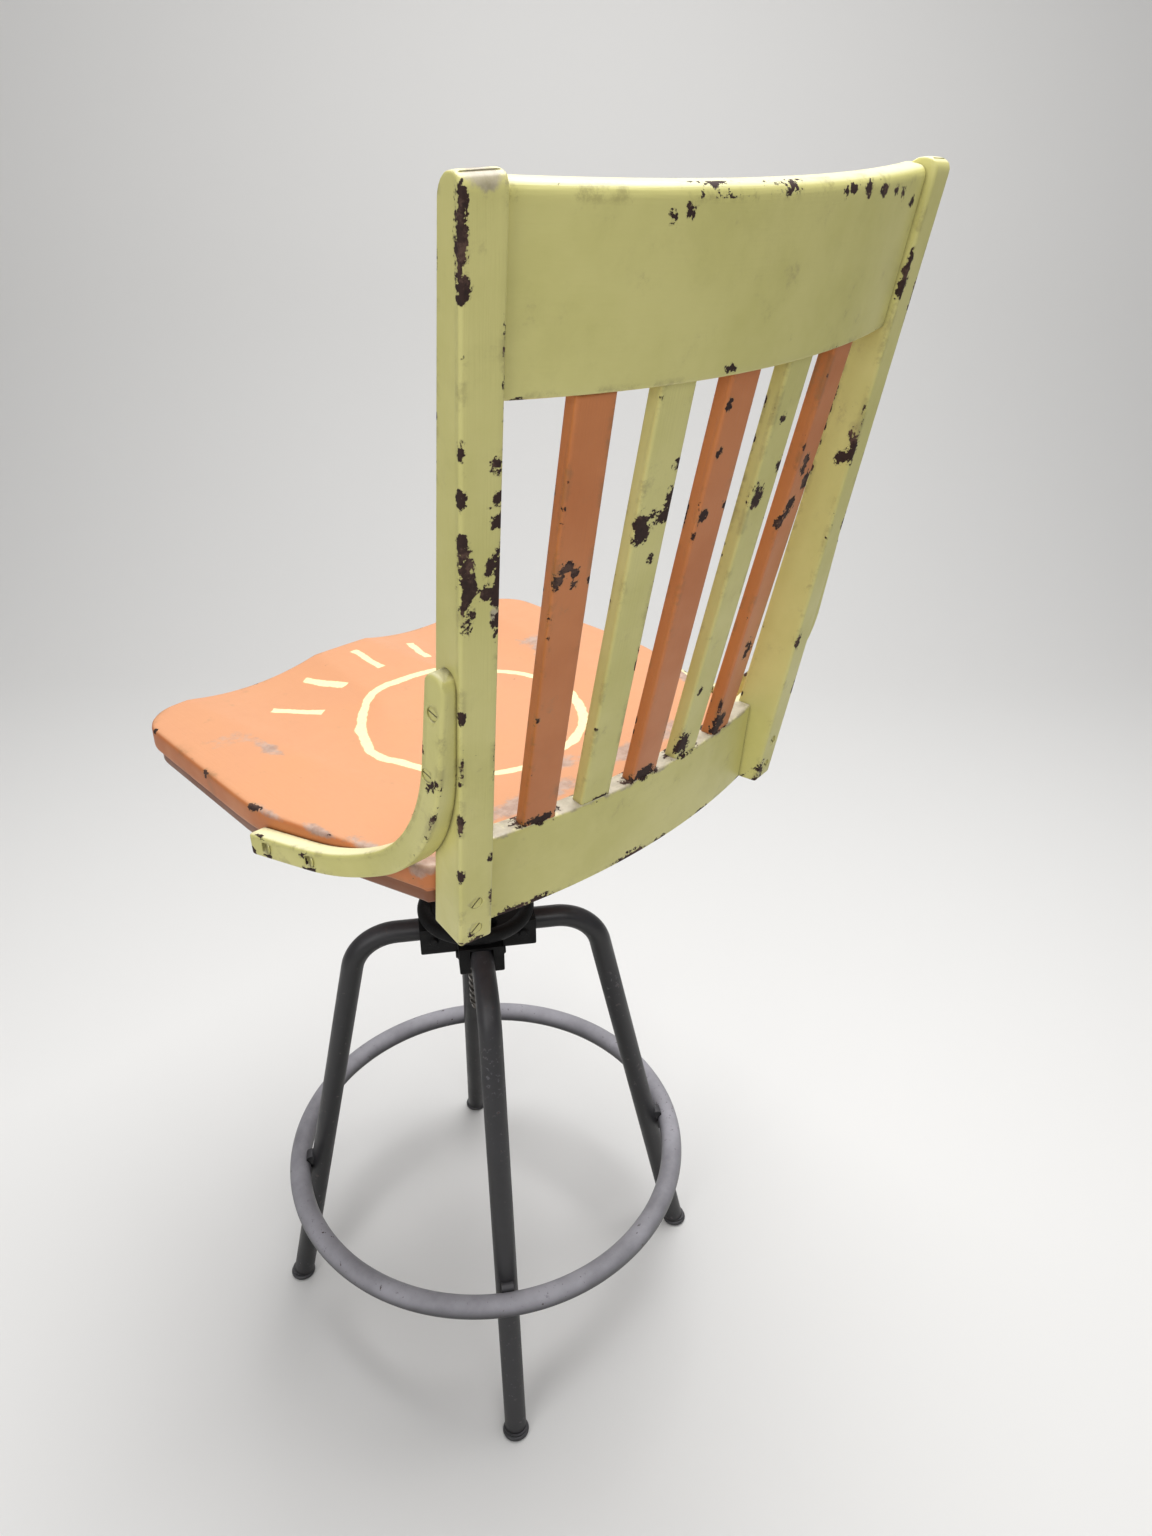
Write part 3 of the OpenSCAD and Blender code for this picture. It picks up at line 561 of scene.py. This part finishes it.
def brace_line():
    """Middle of the brace in side view: points (y, z), and the way that it runs at each."""
    tangent = BRACE_BEND * math.tan(deg((90 - BRACE_RISE - BRACE_RAKE) / 2))
    rise = np.array([math.cos(deg(BRACE_RISE)), math.sin(deg(BRACE_RISE))])
    lean = np.array([math.sin(deg(BRACE_RAKE)), math.cos(deg(BRACE_RAKE))])
    first = BRACE_CORNER - tangent * rise
    centre = first + BRACE_BEND * np.array([-rise[1], rise[0]])
    last = BRACE_CORNER + tangent * lean
    start = first - rise * (first[0] - BRACE_FRONT) / rise[0]
    end = last + lean * (BRACE_TOP + 1 - last[1]) / lean[1]
    line, round_the_bend = [(start + (first - start) * f, rise) for f in crowded(start, first)], 36
    for a in np.linspace(-90 + BRACE_RISE, -BRACE_RAKE, round_the_bend)[1:-1]:
        d = np.array([math.cos(deg(a)), math.sin(deg(a))])
        line.append((centre + BRACE_BEND * d, np.array([-d[1], d[0]])))
    return line + [(last + (end - last) * (1 - f), lean) for f in reversed(crowded(last, end))]


def crowded(p, q):
    """Shares of the way from p to q, crowded at the start where the end is rounded."""
    length, at_end, along = np.linalg.norm(q - p), 5, 13
    tight = [BRACE_END * (1 - math.cos(a)) / length for a in np.linspace(0, math.pi / 2, at_end)]
    return tight + list(np.linspace(BRACE_END / length, 1, along)[1:])


def brace_faces(y, z):
    """Outer and inner x of the brace: along the seat's side in front, and along the post behind."""
    to_post, outer_ease, inner_from, inner_ease, hair, slack = 138, 13, 160, 8, 0.1, 1.5
    post_turn_in, post_rake = 0.178, 0.154
    thick = BRACE_T / math.cos(math.atan((SEAT_HALF - SEAT_REAR_HALF) / (TAPER_Y1 - TAPER_Y0)))
    straight = seat_side(y) + thick
    outer = straight + (BRACE_OUT_X - straight) * (1 / (1 + math.exp(-(y - to_post) / outer_ease)))
    outer = max(outer, BRACE_OUT_X - slack)
    lean = turned(*POST_LEAN)
    rear_edge = POST_FOOT[1] + post_rake * (z - POST_FOOT[2])
    post_x = POST_FOOT[0] + lean[0, 2] / lean[2, 2] * (z - POST_FOOT[2])
    post_x += post_turn_in * min(y - rear_edge, 0)
    by_seat = seat_side(y) + hair
    share = 1 / (1 + math.exp(-(y - inner_from) / inner_ease))
    return outer, by_seat + (post_x + hair - by_seat) * share


def brace(name, side, chips):
    """The bent brace between the seat's side and the post, rounded over at both ends."""
    top_reach, top_fade, top_round, arris = 30, 14, 8.0, 2.6
    rings, near = [], None
    line = brace_line()
    for (y, z), way in line:
        outer, inner = brace_faces(y, z)
        from_end = min(np.linalg.norm((y, z) - end[0]) for end in (line[0], line[-1]))
        draw = BRACE_END - math.sqrt(max(BRACE_END ** 2 - (BRACE_END - min(from_end, BRACE_END)) ** 2, 0))
        section, near = bar_section(outer - inner - draw, BRACE_W - 2 * draw, arris - 0.5 * draw, 4, 5)
        across = np.array([-way[1], way[0]])
        pts = []
        for x, w in section:
            at = np.array([y, z]) + across * w
            if z > BRACE_TOP - top_reach:
                at = at - way * (abs(w) / (BRACE_W / 2)) ** 3 * top_round * max(0, 1 - from_end / top_fade)
            pts.append(((outer + inner - draw) / 2 + x, at[0], at[1]))
        rings.append(pts)
    return loft(name, sided(rings, side), near if side > 0 else near[::-1], chips=chips)


def seat_outline():
    """The seat's edge, anticlockwise from the middle of its front."""
    corner, bow, bow_half, front_half, spacing = 40.0, 6.0, 180, 176, 6.0
    widest_y, narrower, rear_y, soft, taper = -14.0, 4.0, 171.0, 18.0, 0.303
    behind_rail, rear_corner = 2.2, 1.2
    pts = [(x, -SEAT_FRONT + bow * (x / bow_half) ** 2) for x in np.arange(0, front_half, spacing)]
    cx, cy = SEAT_HALF - narrower - corner, -SEAT_FRONT + bow + corner
    pts += [(cx + corner * math.cos(deg(a)), cy + corner * math.sin(deg(a))) for a in np.linspace(-80, 0, 14)]
    for y in np.arange(cy + spacing, widest_y, spacing):
        pts.append((SEAT_HALF - narrower * (widest_y - y) / (widest_y - cy), y))
    for y in np.arange(widest_y, rear_y, 5.5):
        eased = max(0.0, soft - abs(y - TAPER_Y0)) ** 2 / (4 * soft) * taper
        pts.append((min(SEAT_HALF, seat_side(y)) - eased, y))
    for x in np.arange(rear_y, 0, -spacing):
        rear = LOW_FOOT[1] + behind_rail - LOW_T + math.sqrt(LOW_R ** 2 - x * x) - LOW_R
        pts.append((x, min(rear, rear_y + (rear_y - x) * rear_corner)))
    half = np.array(pts)
    return np.concatenate([half, half[1:][::-1] * [-1, 1]])


def saddle(x, y):
    """How far the seat's top lies below its rim: two hollows for the legs, and a dish behind them."""
    leg_x, leg_wide, front_y, front_deep, fall = 98, 520, -218, 9.6, 0.0244
    dish_y, dish_deep, dish_wide, sharp = 60, 6.5, 2800, 3
    leg_deep = front_deep - fall * (y - front_y)
    legs = np.maximum(leg_deep - (np.abs(x) - leg_x) ** 2 / leg_wide, 0)
    dish = np.maximum(dish_deep - (x ** 2 + (y - dish_y) ** 2) / dish_wide, 0)
    return (legs ** sharp + dish ** sharp + 1e-6) ** (1 / sharp)


def seat_board(name, chips, rubs):
    """The saddled board: a deep rounded rim, a step in under it, and hollows worked into the top."""
    edge = seat_outline()
    way = np.roll(edge, -1, 0) - np.roll(edge, 1, 0)
    normal = np.stack([way[:, 1], -way[:, 0]], 1) / np.linalg.norm(way, axis=1)[:, None]
    band, step, thick, margin, to_middle = 20.0, 5.0, SEAT_TOP - SEAT_UNDER, 12.0, 160
    # Each level round the edge, from under the board: how far in, how high from the top, how near an arris.
    levels = [(f * margin, -thick, 0.0) for f in (12, 6, 2)]
    levels += [(step + 3.0, -thick, 0.3), (step + 1.0, -thick + 1.0, 1.0), (step, -thick + 3.0, 0.5),
               (step, -band - 7, 0.1), (step, -band - 1.2, 0.3), (step - 0.4, -band - 0.2, 0.6),
               (1.6, -band, 0.7), (0.4, -band + 0.5, 1.0), (0.0, -band + 1.8, 0.7), (0.0, -band + 6, 0.1),
               (0.0, -9, 0.1), (0.1, -4.5, 0.4), (0.6, -2.0, 0.9), (1.8, -0.7, 1.0), (3.4, -0.1, 0.8),
               (6.0, 0.0, 0.2), (margin, 0.0, 0.0)]
    rings, near = [], []
    for inset, drop, arris in levels:
        plan = edge * (1 - inset / to_middle) if inset > band else edge - normal * inset
        rim = max(0, (drop + band) / band) if drop > -margin else 0
        rings.append(np.column_stack([plan, SEAT_TOP + drop - saddle(*plan.T) * rim]))
        near.append(np.full(len(edge), arris))
    inner = edge - normal * margin
    for f in np.linspace(1, 0, 36)[1:-1]:
        plan = inner * f
        rings.append(np.column_stack([plan, SEAT_TOP - saddle(*plan.T)]))
        near.append(np.zeros(len(edge)))
    obj = loft(name, rings, np.array(near), chips=chips, rubs=rubs)
    lay = np.array(rings).reshape(-1, 3)[:, [1, 0, 2]] * MM
    obj.data.attributes["lay"].data.foreach_set("vector", lay.astype(np.float32).ravel())
    return obj


# ---------------------------------------------------------------- tube frame
def tube_leg(name, turn):
    """A bent tube in an upright plane through the spindle, drawn along x and then turned into place."""
    round_the_tube = [deg(10 * i) for i in range(36)]
    level, bent, straight = 8, 26, 90
    tilt = math.atan((FOOT_R - CORNER_R) / LEG_TOP_Z)
    bend_x = CORNER_R - BEND_R * math.tan((math.pi / 2 - tilt) / 2)
    bend_z = LEG_TOP_Z - BEND_R
    path = [(r, LEG_TOP_Z, 1.0, 0.0) for r in np.linspace(HUB_R, bend_x, level)[:-1]]
    for a in np.linspace(math.pi / 2, tilt, bent):
        east, up = math.cos(a), math.sin(a)
        path.append((bend_x + BEND_R * east, bend_z + BEND_R * up, up, -east))
    r, z = path[-1][:2]
    out, down = math.sin(tilt), -math.cos(tilt)
    length = (z - TUBE_FOOT_Z) / -down
    shares = np.linspace(0, 1, straight)[1:]
    path += [(r + out * length * f, z + down * length * f, out, down) for f in shares]
    rings = []
    for r, z, dr, dz in path:
        ring = [(r - dz * TUBE_R * math.cos(a), TUBE_R * math.sin(a), z + dr * TUBE_R * math.cos(a))
                for a in round_the_tube]
        rings.append(placed(ring, (0, 0, 0), turned(0, 0, turn)))
    return loft(name, rings, np.zeros(len(round_the_tube)))


def foot_ring(name):
    """The same tube bent to a closed ring, level at the height of the welds."""
    round_the_tube, round_the_ring = (np.linspace(0, 2 * math.pi, n + 1)[:-1] for n in (36, 240))
    section = [(RING_R + TUBE_R * math.cos(b), TUBE_R * math.sin(b)) for b in round_the_tube]
    rings = []
    for a in round_the_ring:
        rings.append([(r * math.cos(a), r * math.sin(a), RING_Z + z) for r, z in section])
    return loft(name, rings, np.zeros(len(section)), closed_path=True)


# ---------------------------------------------------------------- screw sinks
def screw_sinks(places, side=1):
    """Short plugs at the screws' heads, as one mesh. Places are (head's centre, turn whose Z is outward)."""
    radius, floor, rim, count = 4.8, -1.3, 3.0, 28
    co, faces = [], []
    for centre, turn in places:
        first = len(co)
        for z in (floor, rim):
            angles = [deg(360 * i / count) for i in range(count)]
            ring = [(radius * math.cos(a), radius * math.sin(a), z) for a in angles]
            co += list(placed(ring, centre, turn))
        faces.append(tuple(first + i for i in reversed(range(count))))
        faces.append(tuple(first + count + i for i in range(count)))
        for i in range(count):
            j = (i + 1) % count
            faces.append((first + i, first + j, first + count + j, first + count + i))
    if side < 0:
        co, faces = [p * [-1, 1, 1] for p in co], [f[::-1] for f in faces]
    mesh = bpy.data.meshes.new("plugs")
    mesh.from_pydata([tuple(p * MM + AXIS) for p in co], [], faces)
    return bpy.data.objects.new("plugs", mesh)


def sunk(obj, plugs):
    """Cuts the sinks for the screw heads into a piece."""
    bpy.context.scene.collection.objects.link(plugs)
    cut = obj.modifiers.new("sinks", "BOOLEAN")
    cut.object, cut.operation, cut.solver = plugs, "DIFFERENCE", "EXACT"
    bpy.context.view_layer.update()
    done = bpy.data.meshes.new_from_object(obj.evaluated_get(bpy.context.evaluated_depsgraph_get()))
    obj.modifiers.clear()
    obj.data = done
    mesh = plugs.data
    bpy.data.objects.remove(plugs)
    bpy.data.meshes.remove(mesh)
    return obj


def post_screws():
    """The two screws in the back of each post's foot."""
    lean, below_face = turned(*POST_LEAN), 0.8
    turn = lean @ turned(-90 + CREST_RAKE, 0, 0)
    return [(placed([(-POST_W / 2, -below_face, z)], POST_FOOT, lean)[0], turn) for z in POST_SCREWS]


def brace_screws():
    """Two screws through the brace into the seat's side, and two into the post."""
    taper = (SEAT_HALF - SEAT_REAR_HALF) / (TAPER_Y1 - TAPER_Y0)
    below_seat_arm, below_post_arm = 1.2, 1
    turn, out = turned(0, 90, -math.degrees(math.atan(taper))), BRACE_T * math.hypot(1, taper)
    places = []
    for y in BRACE_SEAT_SCREWS:
        z = BRACE_CORNER[1] + (y - BRACE_CORNER[0]) * math.tan(deg(BRACE_RISE))
        places.append(((seat_side(y) + out - below_seat_arm, y, z), turn))
    for z, forward in BRACE_POST_SCREWS:
        y = BRACE_CORNER[0] + (z - BRACE_CORNER[1]) * math.tan(deg(BRACE_RAKE)) - forward
        places.append(((BRACE_OUT_X - below_post_arm, y, z), turned(0, 90, 0)))
    return places


# ---------------------------------------------------------------- knocks, in each piece's own coordinates
def knocks(*places):
    """Each place is six numbers: the middle of a chip or a rubbed patch, then its reach each way."""
    return [(place[:3], place[3:]) for place in places]


LEFT_POST_CHIPS = knocks(
    (0, 0, 464, 4, 5, 24), (-2, 0, 440, 3, 4, 8), (0, 0, 362, 3, 4, 6), (-21, 0, 351, 4, 4, 5),
    (0, 0, 336, 3, 4, 6), (-22, 0, 333, 5, 4, 4), (-23, 0, 321, 4, 4, 5), (0, 0, 312, 3, 4, 5),
    (-4, 0, 283, 5, 5, 24), (-24, 0, 278, 4, 5, 27), (-19, 0, 292, 4, 4, 7), (-15, 0, 279, 5, 4, 4),
    (-3, 0, 307, 5, 4, 2), (0, 0, 199, 3, 4, 6), (0, 0, 115, 3, 4, 9), (0, 0, 67, 3, 4, 6),
    (-24, 0, 76, 3, 4, 4), (-8, 0, 1, 10, 4, 3), (-9, 0, 9, 3, 3, 4), (-25, 0, 40, 2, 3, 8))
LEFT_POST_RUBS = knocks((-22, 0, 262, 4, 5, 12), (-13, 2, 487, 14, 16, 7))
RIGHT_POST_CHIPS = knocks(
    (-25, 0, 418, 4, 4, 14), (-26, 0, 300, 5, 7, 14), (-25, -8, 290, 4, 5, 6), (-22, 0, 138, 3, 3, 8),
    (-22, 0, 11, 6, 5, 9), (-14, -10, 0, 12, 10, 3), (0, 0, 400, 3, 4, 16), (0, 0, 240, 3, 4, 12),
    (0, 0, 90, 3, 4, 12))
CREST_CHIPS = knocks(
    (87, 0, 84, 3, 4, 4), (75, 0, 88, 4, 4, 3), (-55, 0, 93, 3, 4, 3), (-65, 0, 94, 4, 5, 3),
    (-84, 0, 93, 5, 5, 3), (-107, 0, 91, 6, 5, 3), (-125, 0, 90, 4, 5, 3), (-140, 0, 88, 4, 4, 3),
    (-162, 0, 81, 5, 4, 3), (22, 0, 5, 5, 4, 3))
LOW_CHIPS = knocks(
    (125, 0, 2, 14, 5, 3), (99, 0, 2, 10, 4, 3), (9, 0, 2, 18, 4, 3), (-27, 0, 1, 10, 4, 3),
    (-82, 0, 1, 12, 4, 2), (100, -8, 72, 18, 9, 3), (0, -8, 72, 17, 9, 3), (-50, -8, 72, 17, 9, 3),
    (-100, -8, 72, 12, 9, 3))
LOW_RUBS = knocks(
    (140, -8, 72, 30, 12, 4), (75, -8, 72, 34, 12, 4), (25, -8, 72, 30, 12, 4),
    (-25, -8, 72, 34, 12, 4), (-80, -8, 72, 34, 12, 4), (-130, -8, 72, 34, 12, 4))
SLAT_CHIPS = (
    knocks((6, 6, 210, 5, 5, 4), (11, 6, 203, 4, 5, 6), (0, 6, 205, 4, 5, 3), (-1, 6, 197, 3, 5, 3),
           (-13, 6, 198, 3, 4, 3), (13, 6, 96, 3, 4, 4), (0, 6, 3, 15, 5, 6)),
    knocks((8, 6, 224, 6, 5, 12), (-8, 6, 230, 8, 5, 7), (-11, 6, 262, 3, 4, 4), (-12, 6, 244, 4, 5, 6),
           (-5, 6, 200, 3, 4, 4), (-4, 6, 1, 12, 4, 3)),
    knocks((10, 6, 294, 3, 4, 4), (8, 6, 264, 3, 4, 4), (9, 6, 221, 4, 4, 4), (-13, 6, 224, 4, 5, 6),
           (0, 6, 5, 15, 6, 7)),
    knocks((7, 6, 223, 7, 6, 9), (3, 6, 275, 3, 4, 4), (9, 6, 13, 8, 6, 12), (6, 6, 64, 3, 4, 4),
           (-11, 6, 240, 3, 4, 7)),
    knocks((-8, 6, 217, 6, 6, 8), (3, 6, 232, 5, 5, 8), (5, 6, 201, 6, 6, 7), (13, 6, 190, 4, 5, 7),
           (-3, 6, 78, 6, 5, 10), (8, 6, 12, 8, 6, 12)))
BRACE_CHIPS = knocks(
    (200, 210, 853, 4, 3, 5), (200, 204, 839, 4, 3, 4), (200, 221, 832, 4, 4, 3),
    (230, 44, 705, 4, 6, 3), (234, 26, 703, 5, 4, 6), (217, 82, 706, 5, 6, 4), (218, 76, 716, 4, 4, 3),
    (215, 110, 703, 4, 8, 3), (200, 214, 826, 4, 4, 4))
SEAT_CHIPS = knocks(
    (221, 12, 730, 6, 9, 3), (217, -158, 730, 4, 6, 3), (214, -178, 722, 4, 5, 6),
    (220, -62, 729, 3, 5, 3), (172, 150, 716, 7, 16, 5))
SEAT_RUBS = knocks(
    (218, 40, 731, 7, 30, 5), (204, 85, 731, 7, 30, 5), (190, 130, 731, 9, 30, 5),
    (174, 166, 730, 16, 14, 9), (176, -96, 725, 22, 15, 9), (163, -60, 725, 9, 26, 9),
    (-150, -60, 728, 18, 30, 9), (10, 120, 728, 30, 12, 9), (-195, 90, 728, 12, 30, 9),
    (60, 150, 728, 60, 14, 9), (-70, 150, 728, 70, 14, 9))

# ---------------------------------------------------------------- the pieces
left_post = sunk(back_post("left_post", 1, LEFT_POST_CHIPS, LEFT_POST_RUBS), screw_sinks(post_screws()))
made(left_post, "seat", yellow, "yellow_timber", "post_left")
right_post = sunk(back_post("right_post", -1, RIGHT_POST_CHIPS), screw_sinks(post_screws(), -1))
made(right_post, "seat", yellow, "yellow_timber", "post_right")
crest = bowed_rail("crest", CREST_FOOT, CREST_R, CREST_RAKE, CREST_HALF_W,
                   rounded_over(CREST_T, CREST_H, CREST_NOSE), CREST_CHIPS)
made(crest, "seat", yellow, "yellow_timber", "crest_rail")
low_rail = bowed_rail("low_rail", LOW_FOOT, LOW_R, LOW_RAKE, LOW_HALF_W,
                      rounded_over(LOW_T, LOW_H, LOW_NOSE), LOW_CHIPS, LOW_RUBS)
made(low_rail, "seat", yellow, "yellow_timber", "lower_rail")
for k in range(5):
    paint, slot = ((orange, "orange_timber"), (yellow, "yellow_timber"))[k % 2]
    made(slat(f"slat_{k + 1}_painted", 2 - k, SLAT_CHIPS[k]), "seat", paint, slot, f"slat_{k + 1}")
left_brace = sunk(brace("left_brace", 1, BRACE_CHIPS), screw_sinks(brace_screws()))
made(left_brace, "seat", yellow, "yellow_timber", "brace_left")
right_brace = sunk(brace("right_brace", -1, ()), screw_sinks(brace_screws(), -1))
made(right_brace, "seat", yellow, "yellow_timber", "brace_right")
made(seat_board("saddle_seat", SEAT_CHIPS, SEAT_RUBS), "seat", seat_paint, "orange_timber", "seat_board")
for k, place in enumerate(("rear_left", "rear_right", "front_right", "front_left")):
    made(tube_leg(f"tube_{place}", LEG_AZ + 90 * k), "base", leg_black, "black_tube", f"leg_{place}")
made(foot_ring("footrest_ring"), "base", ring_black, "black_tube", "foot_ring")

# The castings, the turned pieces and the screws keep the model's shapes and take their finishes here.
KEPT = {
    leg_black: ("foot_glides", "ring_welds"),
    casting_black_with_painted_shade: ("hub_spider", "leg_rivets", "handwheel", "seat_iron"),
    steel: ("spindle_key", "spindle", "swivel_nut", "iron_screws"),
    bronze: ("thrust_washer", "spindle_nut", "swivel_washer"),
    yellow: ("brace_seat_screws", "brace_post_screws", "post_screws"),
}
for material, names in KEPT.items():
    for name in names:
        nodes[name].data.materials.clear()
        nodes[name].data.materials.append(material)


# ---------------------------------------------------------------- room
def paper_sweep():
    """A sheet of pale paper on the floor that curves up behind the chair, in metres."""
    half_width, front, rear, cove, top, first_angle = 3.0, 3.0, -1.6, 0.8, 2.2, 0.1
    angles = np.linspace(first_angle, math.pi / 2, 12)
    profile = [(front, 0.0), (rear, 0.0)]
    profile += [(rear - math.sin(a) * cove, cove - math.cos(a) * cove) for a in angles]
    profile.append((rear - cove, top))
    turn = turned(0, 0, -45)
    pts = [placed((x, y, z), (0, 0, 0), turn) for y, z in profile for x in (-half_width, half_width)]
    faces = [(2 * i, 2 * i + 1, 2 * i + 3, 2 * i + 2) for i in range(len(profile) - 1)]
    mesh = bpy.data.meshes.new("floor")
    mesh.from_pydata([tuple(p) for p in pts], [], faces)
    mesh.polygons.foreach_set("use_smooth", [True] * len(mesh.polygons))
    obj = bpy.data.objects.new("floor", mesh)
    bpy.context.scene.collection.objects.link(obj)
    mesh.materials.append(pale_paper("pale_matt_paper"))


def pale_paper(name):
    """Uncoated paper: no shine at all, and a fibre that is felt more than seen."""
    mat = new_material(name)
    place = add(mat, "TexCoord", out="Object")
    fibre = add(mat, "TexNoise", place, into={"Scale": per_mm(4), "Detail": 3})
    normal = add(mat, "Bump", into={"Height": fibre, "Strength": 0.05, "Distance": 0.4 * MM})
    look = {"Base Color": linear("#e6e5e3"), "Roughness": 0.85, "Normal": normal}
    add(mat, "OutputMaterial", add(mat, "BsdfPrincipled", into=look))
    return mat


def soft_light(name, at, aim, size, watts):
    """A broad white light at one place, turned toward another, in metres."""
    lamp = bpy.data.lights.new(name, "AREA")
    lamp.shape, lamp.size, lamp.size_y = "RECTANGLE", size[0], size[1]
    lamp.energy = watts
    obj = bpy.data.objects.new(name, lamp)
    bpy.context.scene.collection.objects.link(obj)
    obj.location = at
    obj.rotation_euler = (Vector(aim) - Vector(at)).to_track_quat("-Z", "Y").to_euler()


paper_sweep()
soft_light("overhead", at=(-0.45, -0.05, 2.65), aim=(0.0, 0.0, 0.7), size=(1.9, 1.9), watts=68)
soft_light("left_window", at=(2.3, 0.6, 1.6), aim=(0.0, 0.0, 0.8), size=(1.4, 1.6), watts=17)
soft_light("behind_the_chair", at=(1.2, 2.0, 2.3), aim=(0.0, 0.1, 0.85), size=(1.6, 1.2), watts=13)
world = bpy.data.worlds.new("pale_room")
world.use_nodes = True
daylight = world.node_tree.nodes["Background"].inputs
daylight["Color"].default_value, daylight["Strength"].default_value = linear("#f2f3f6"), 0.21
bpy.context.scene.world = world
# The plain view transform keeps the paints as strong as their hex colours.
bpy.context.scene.view_settings.view_transform = "Standard"

EYE_AT, EYE_TURN, LENS, SENSOR = (545.8, 695.5, 1179.1), (59.974, -0.178, 135.569), 25.915, 36.0
lens = bpy.data.cameras.new("eye")
lens.lens, lens.sensor_width, lens.clip_start = LENS, SENSOR, 0.05
eye = bpy.data.objects.new("eye", lens)
bpy.context.scene.collection.objects.link(eye)
eye.location = AXIS + np.array(EYE_AT) * MM
eye.rotation_euler = Euler([deg(a) for a in EYE_TURN], "XYZ")
bpy.context.scene.camera = eye
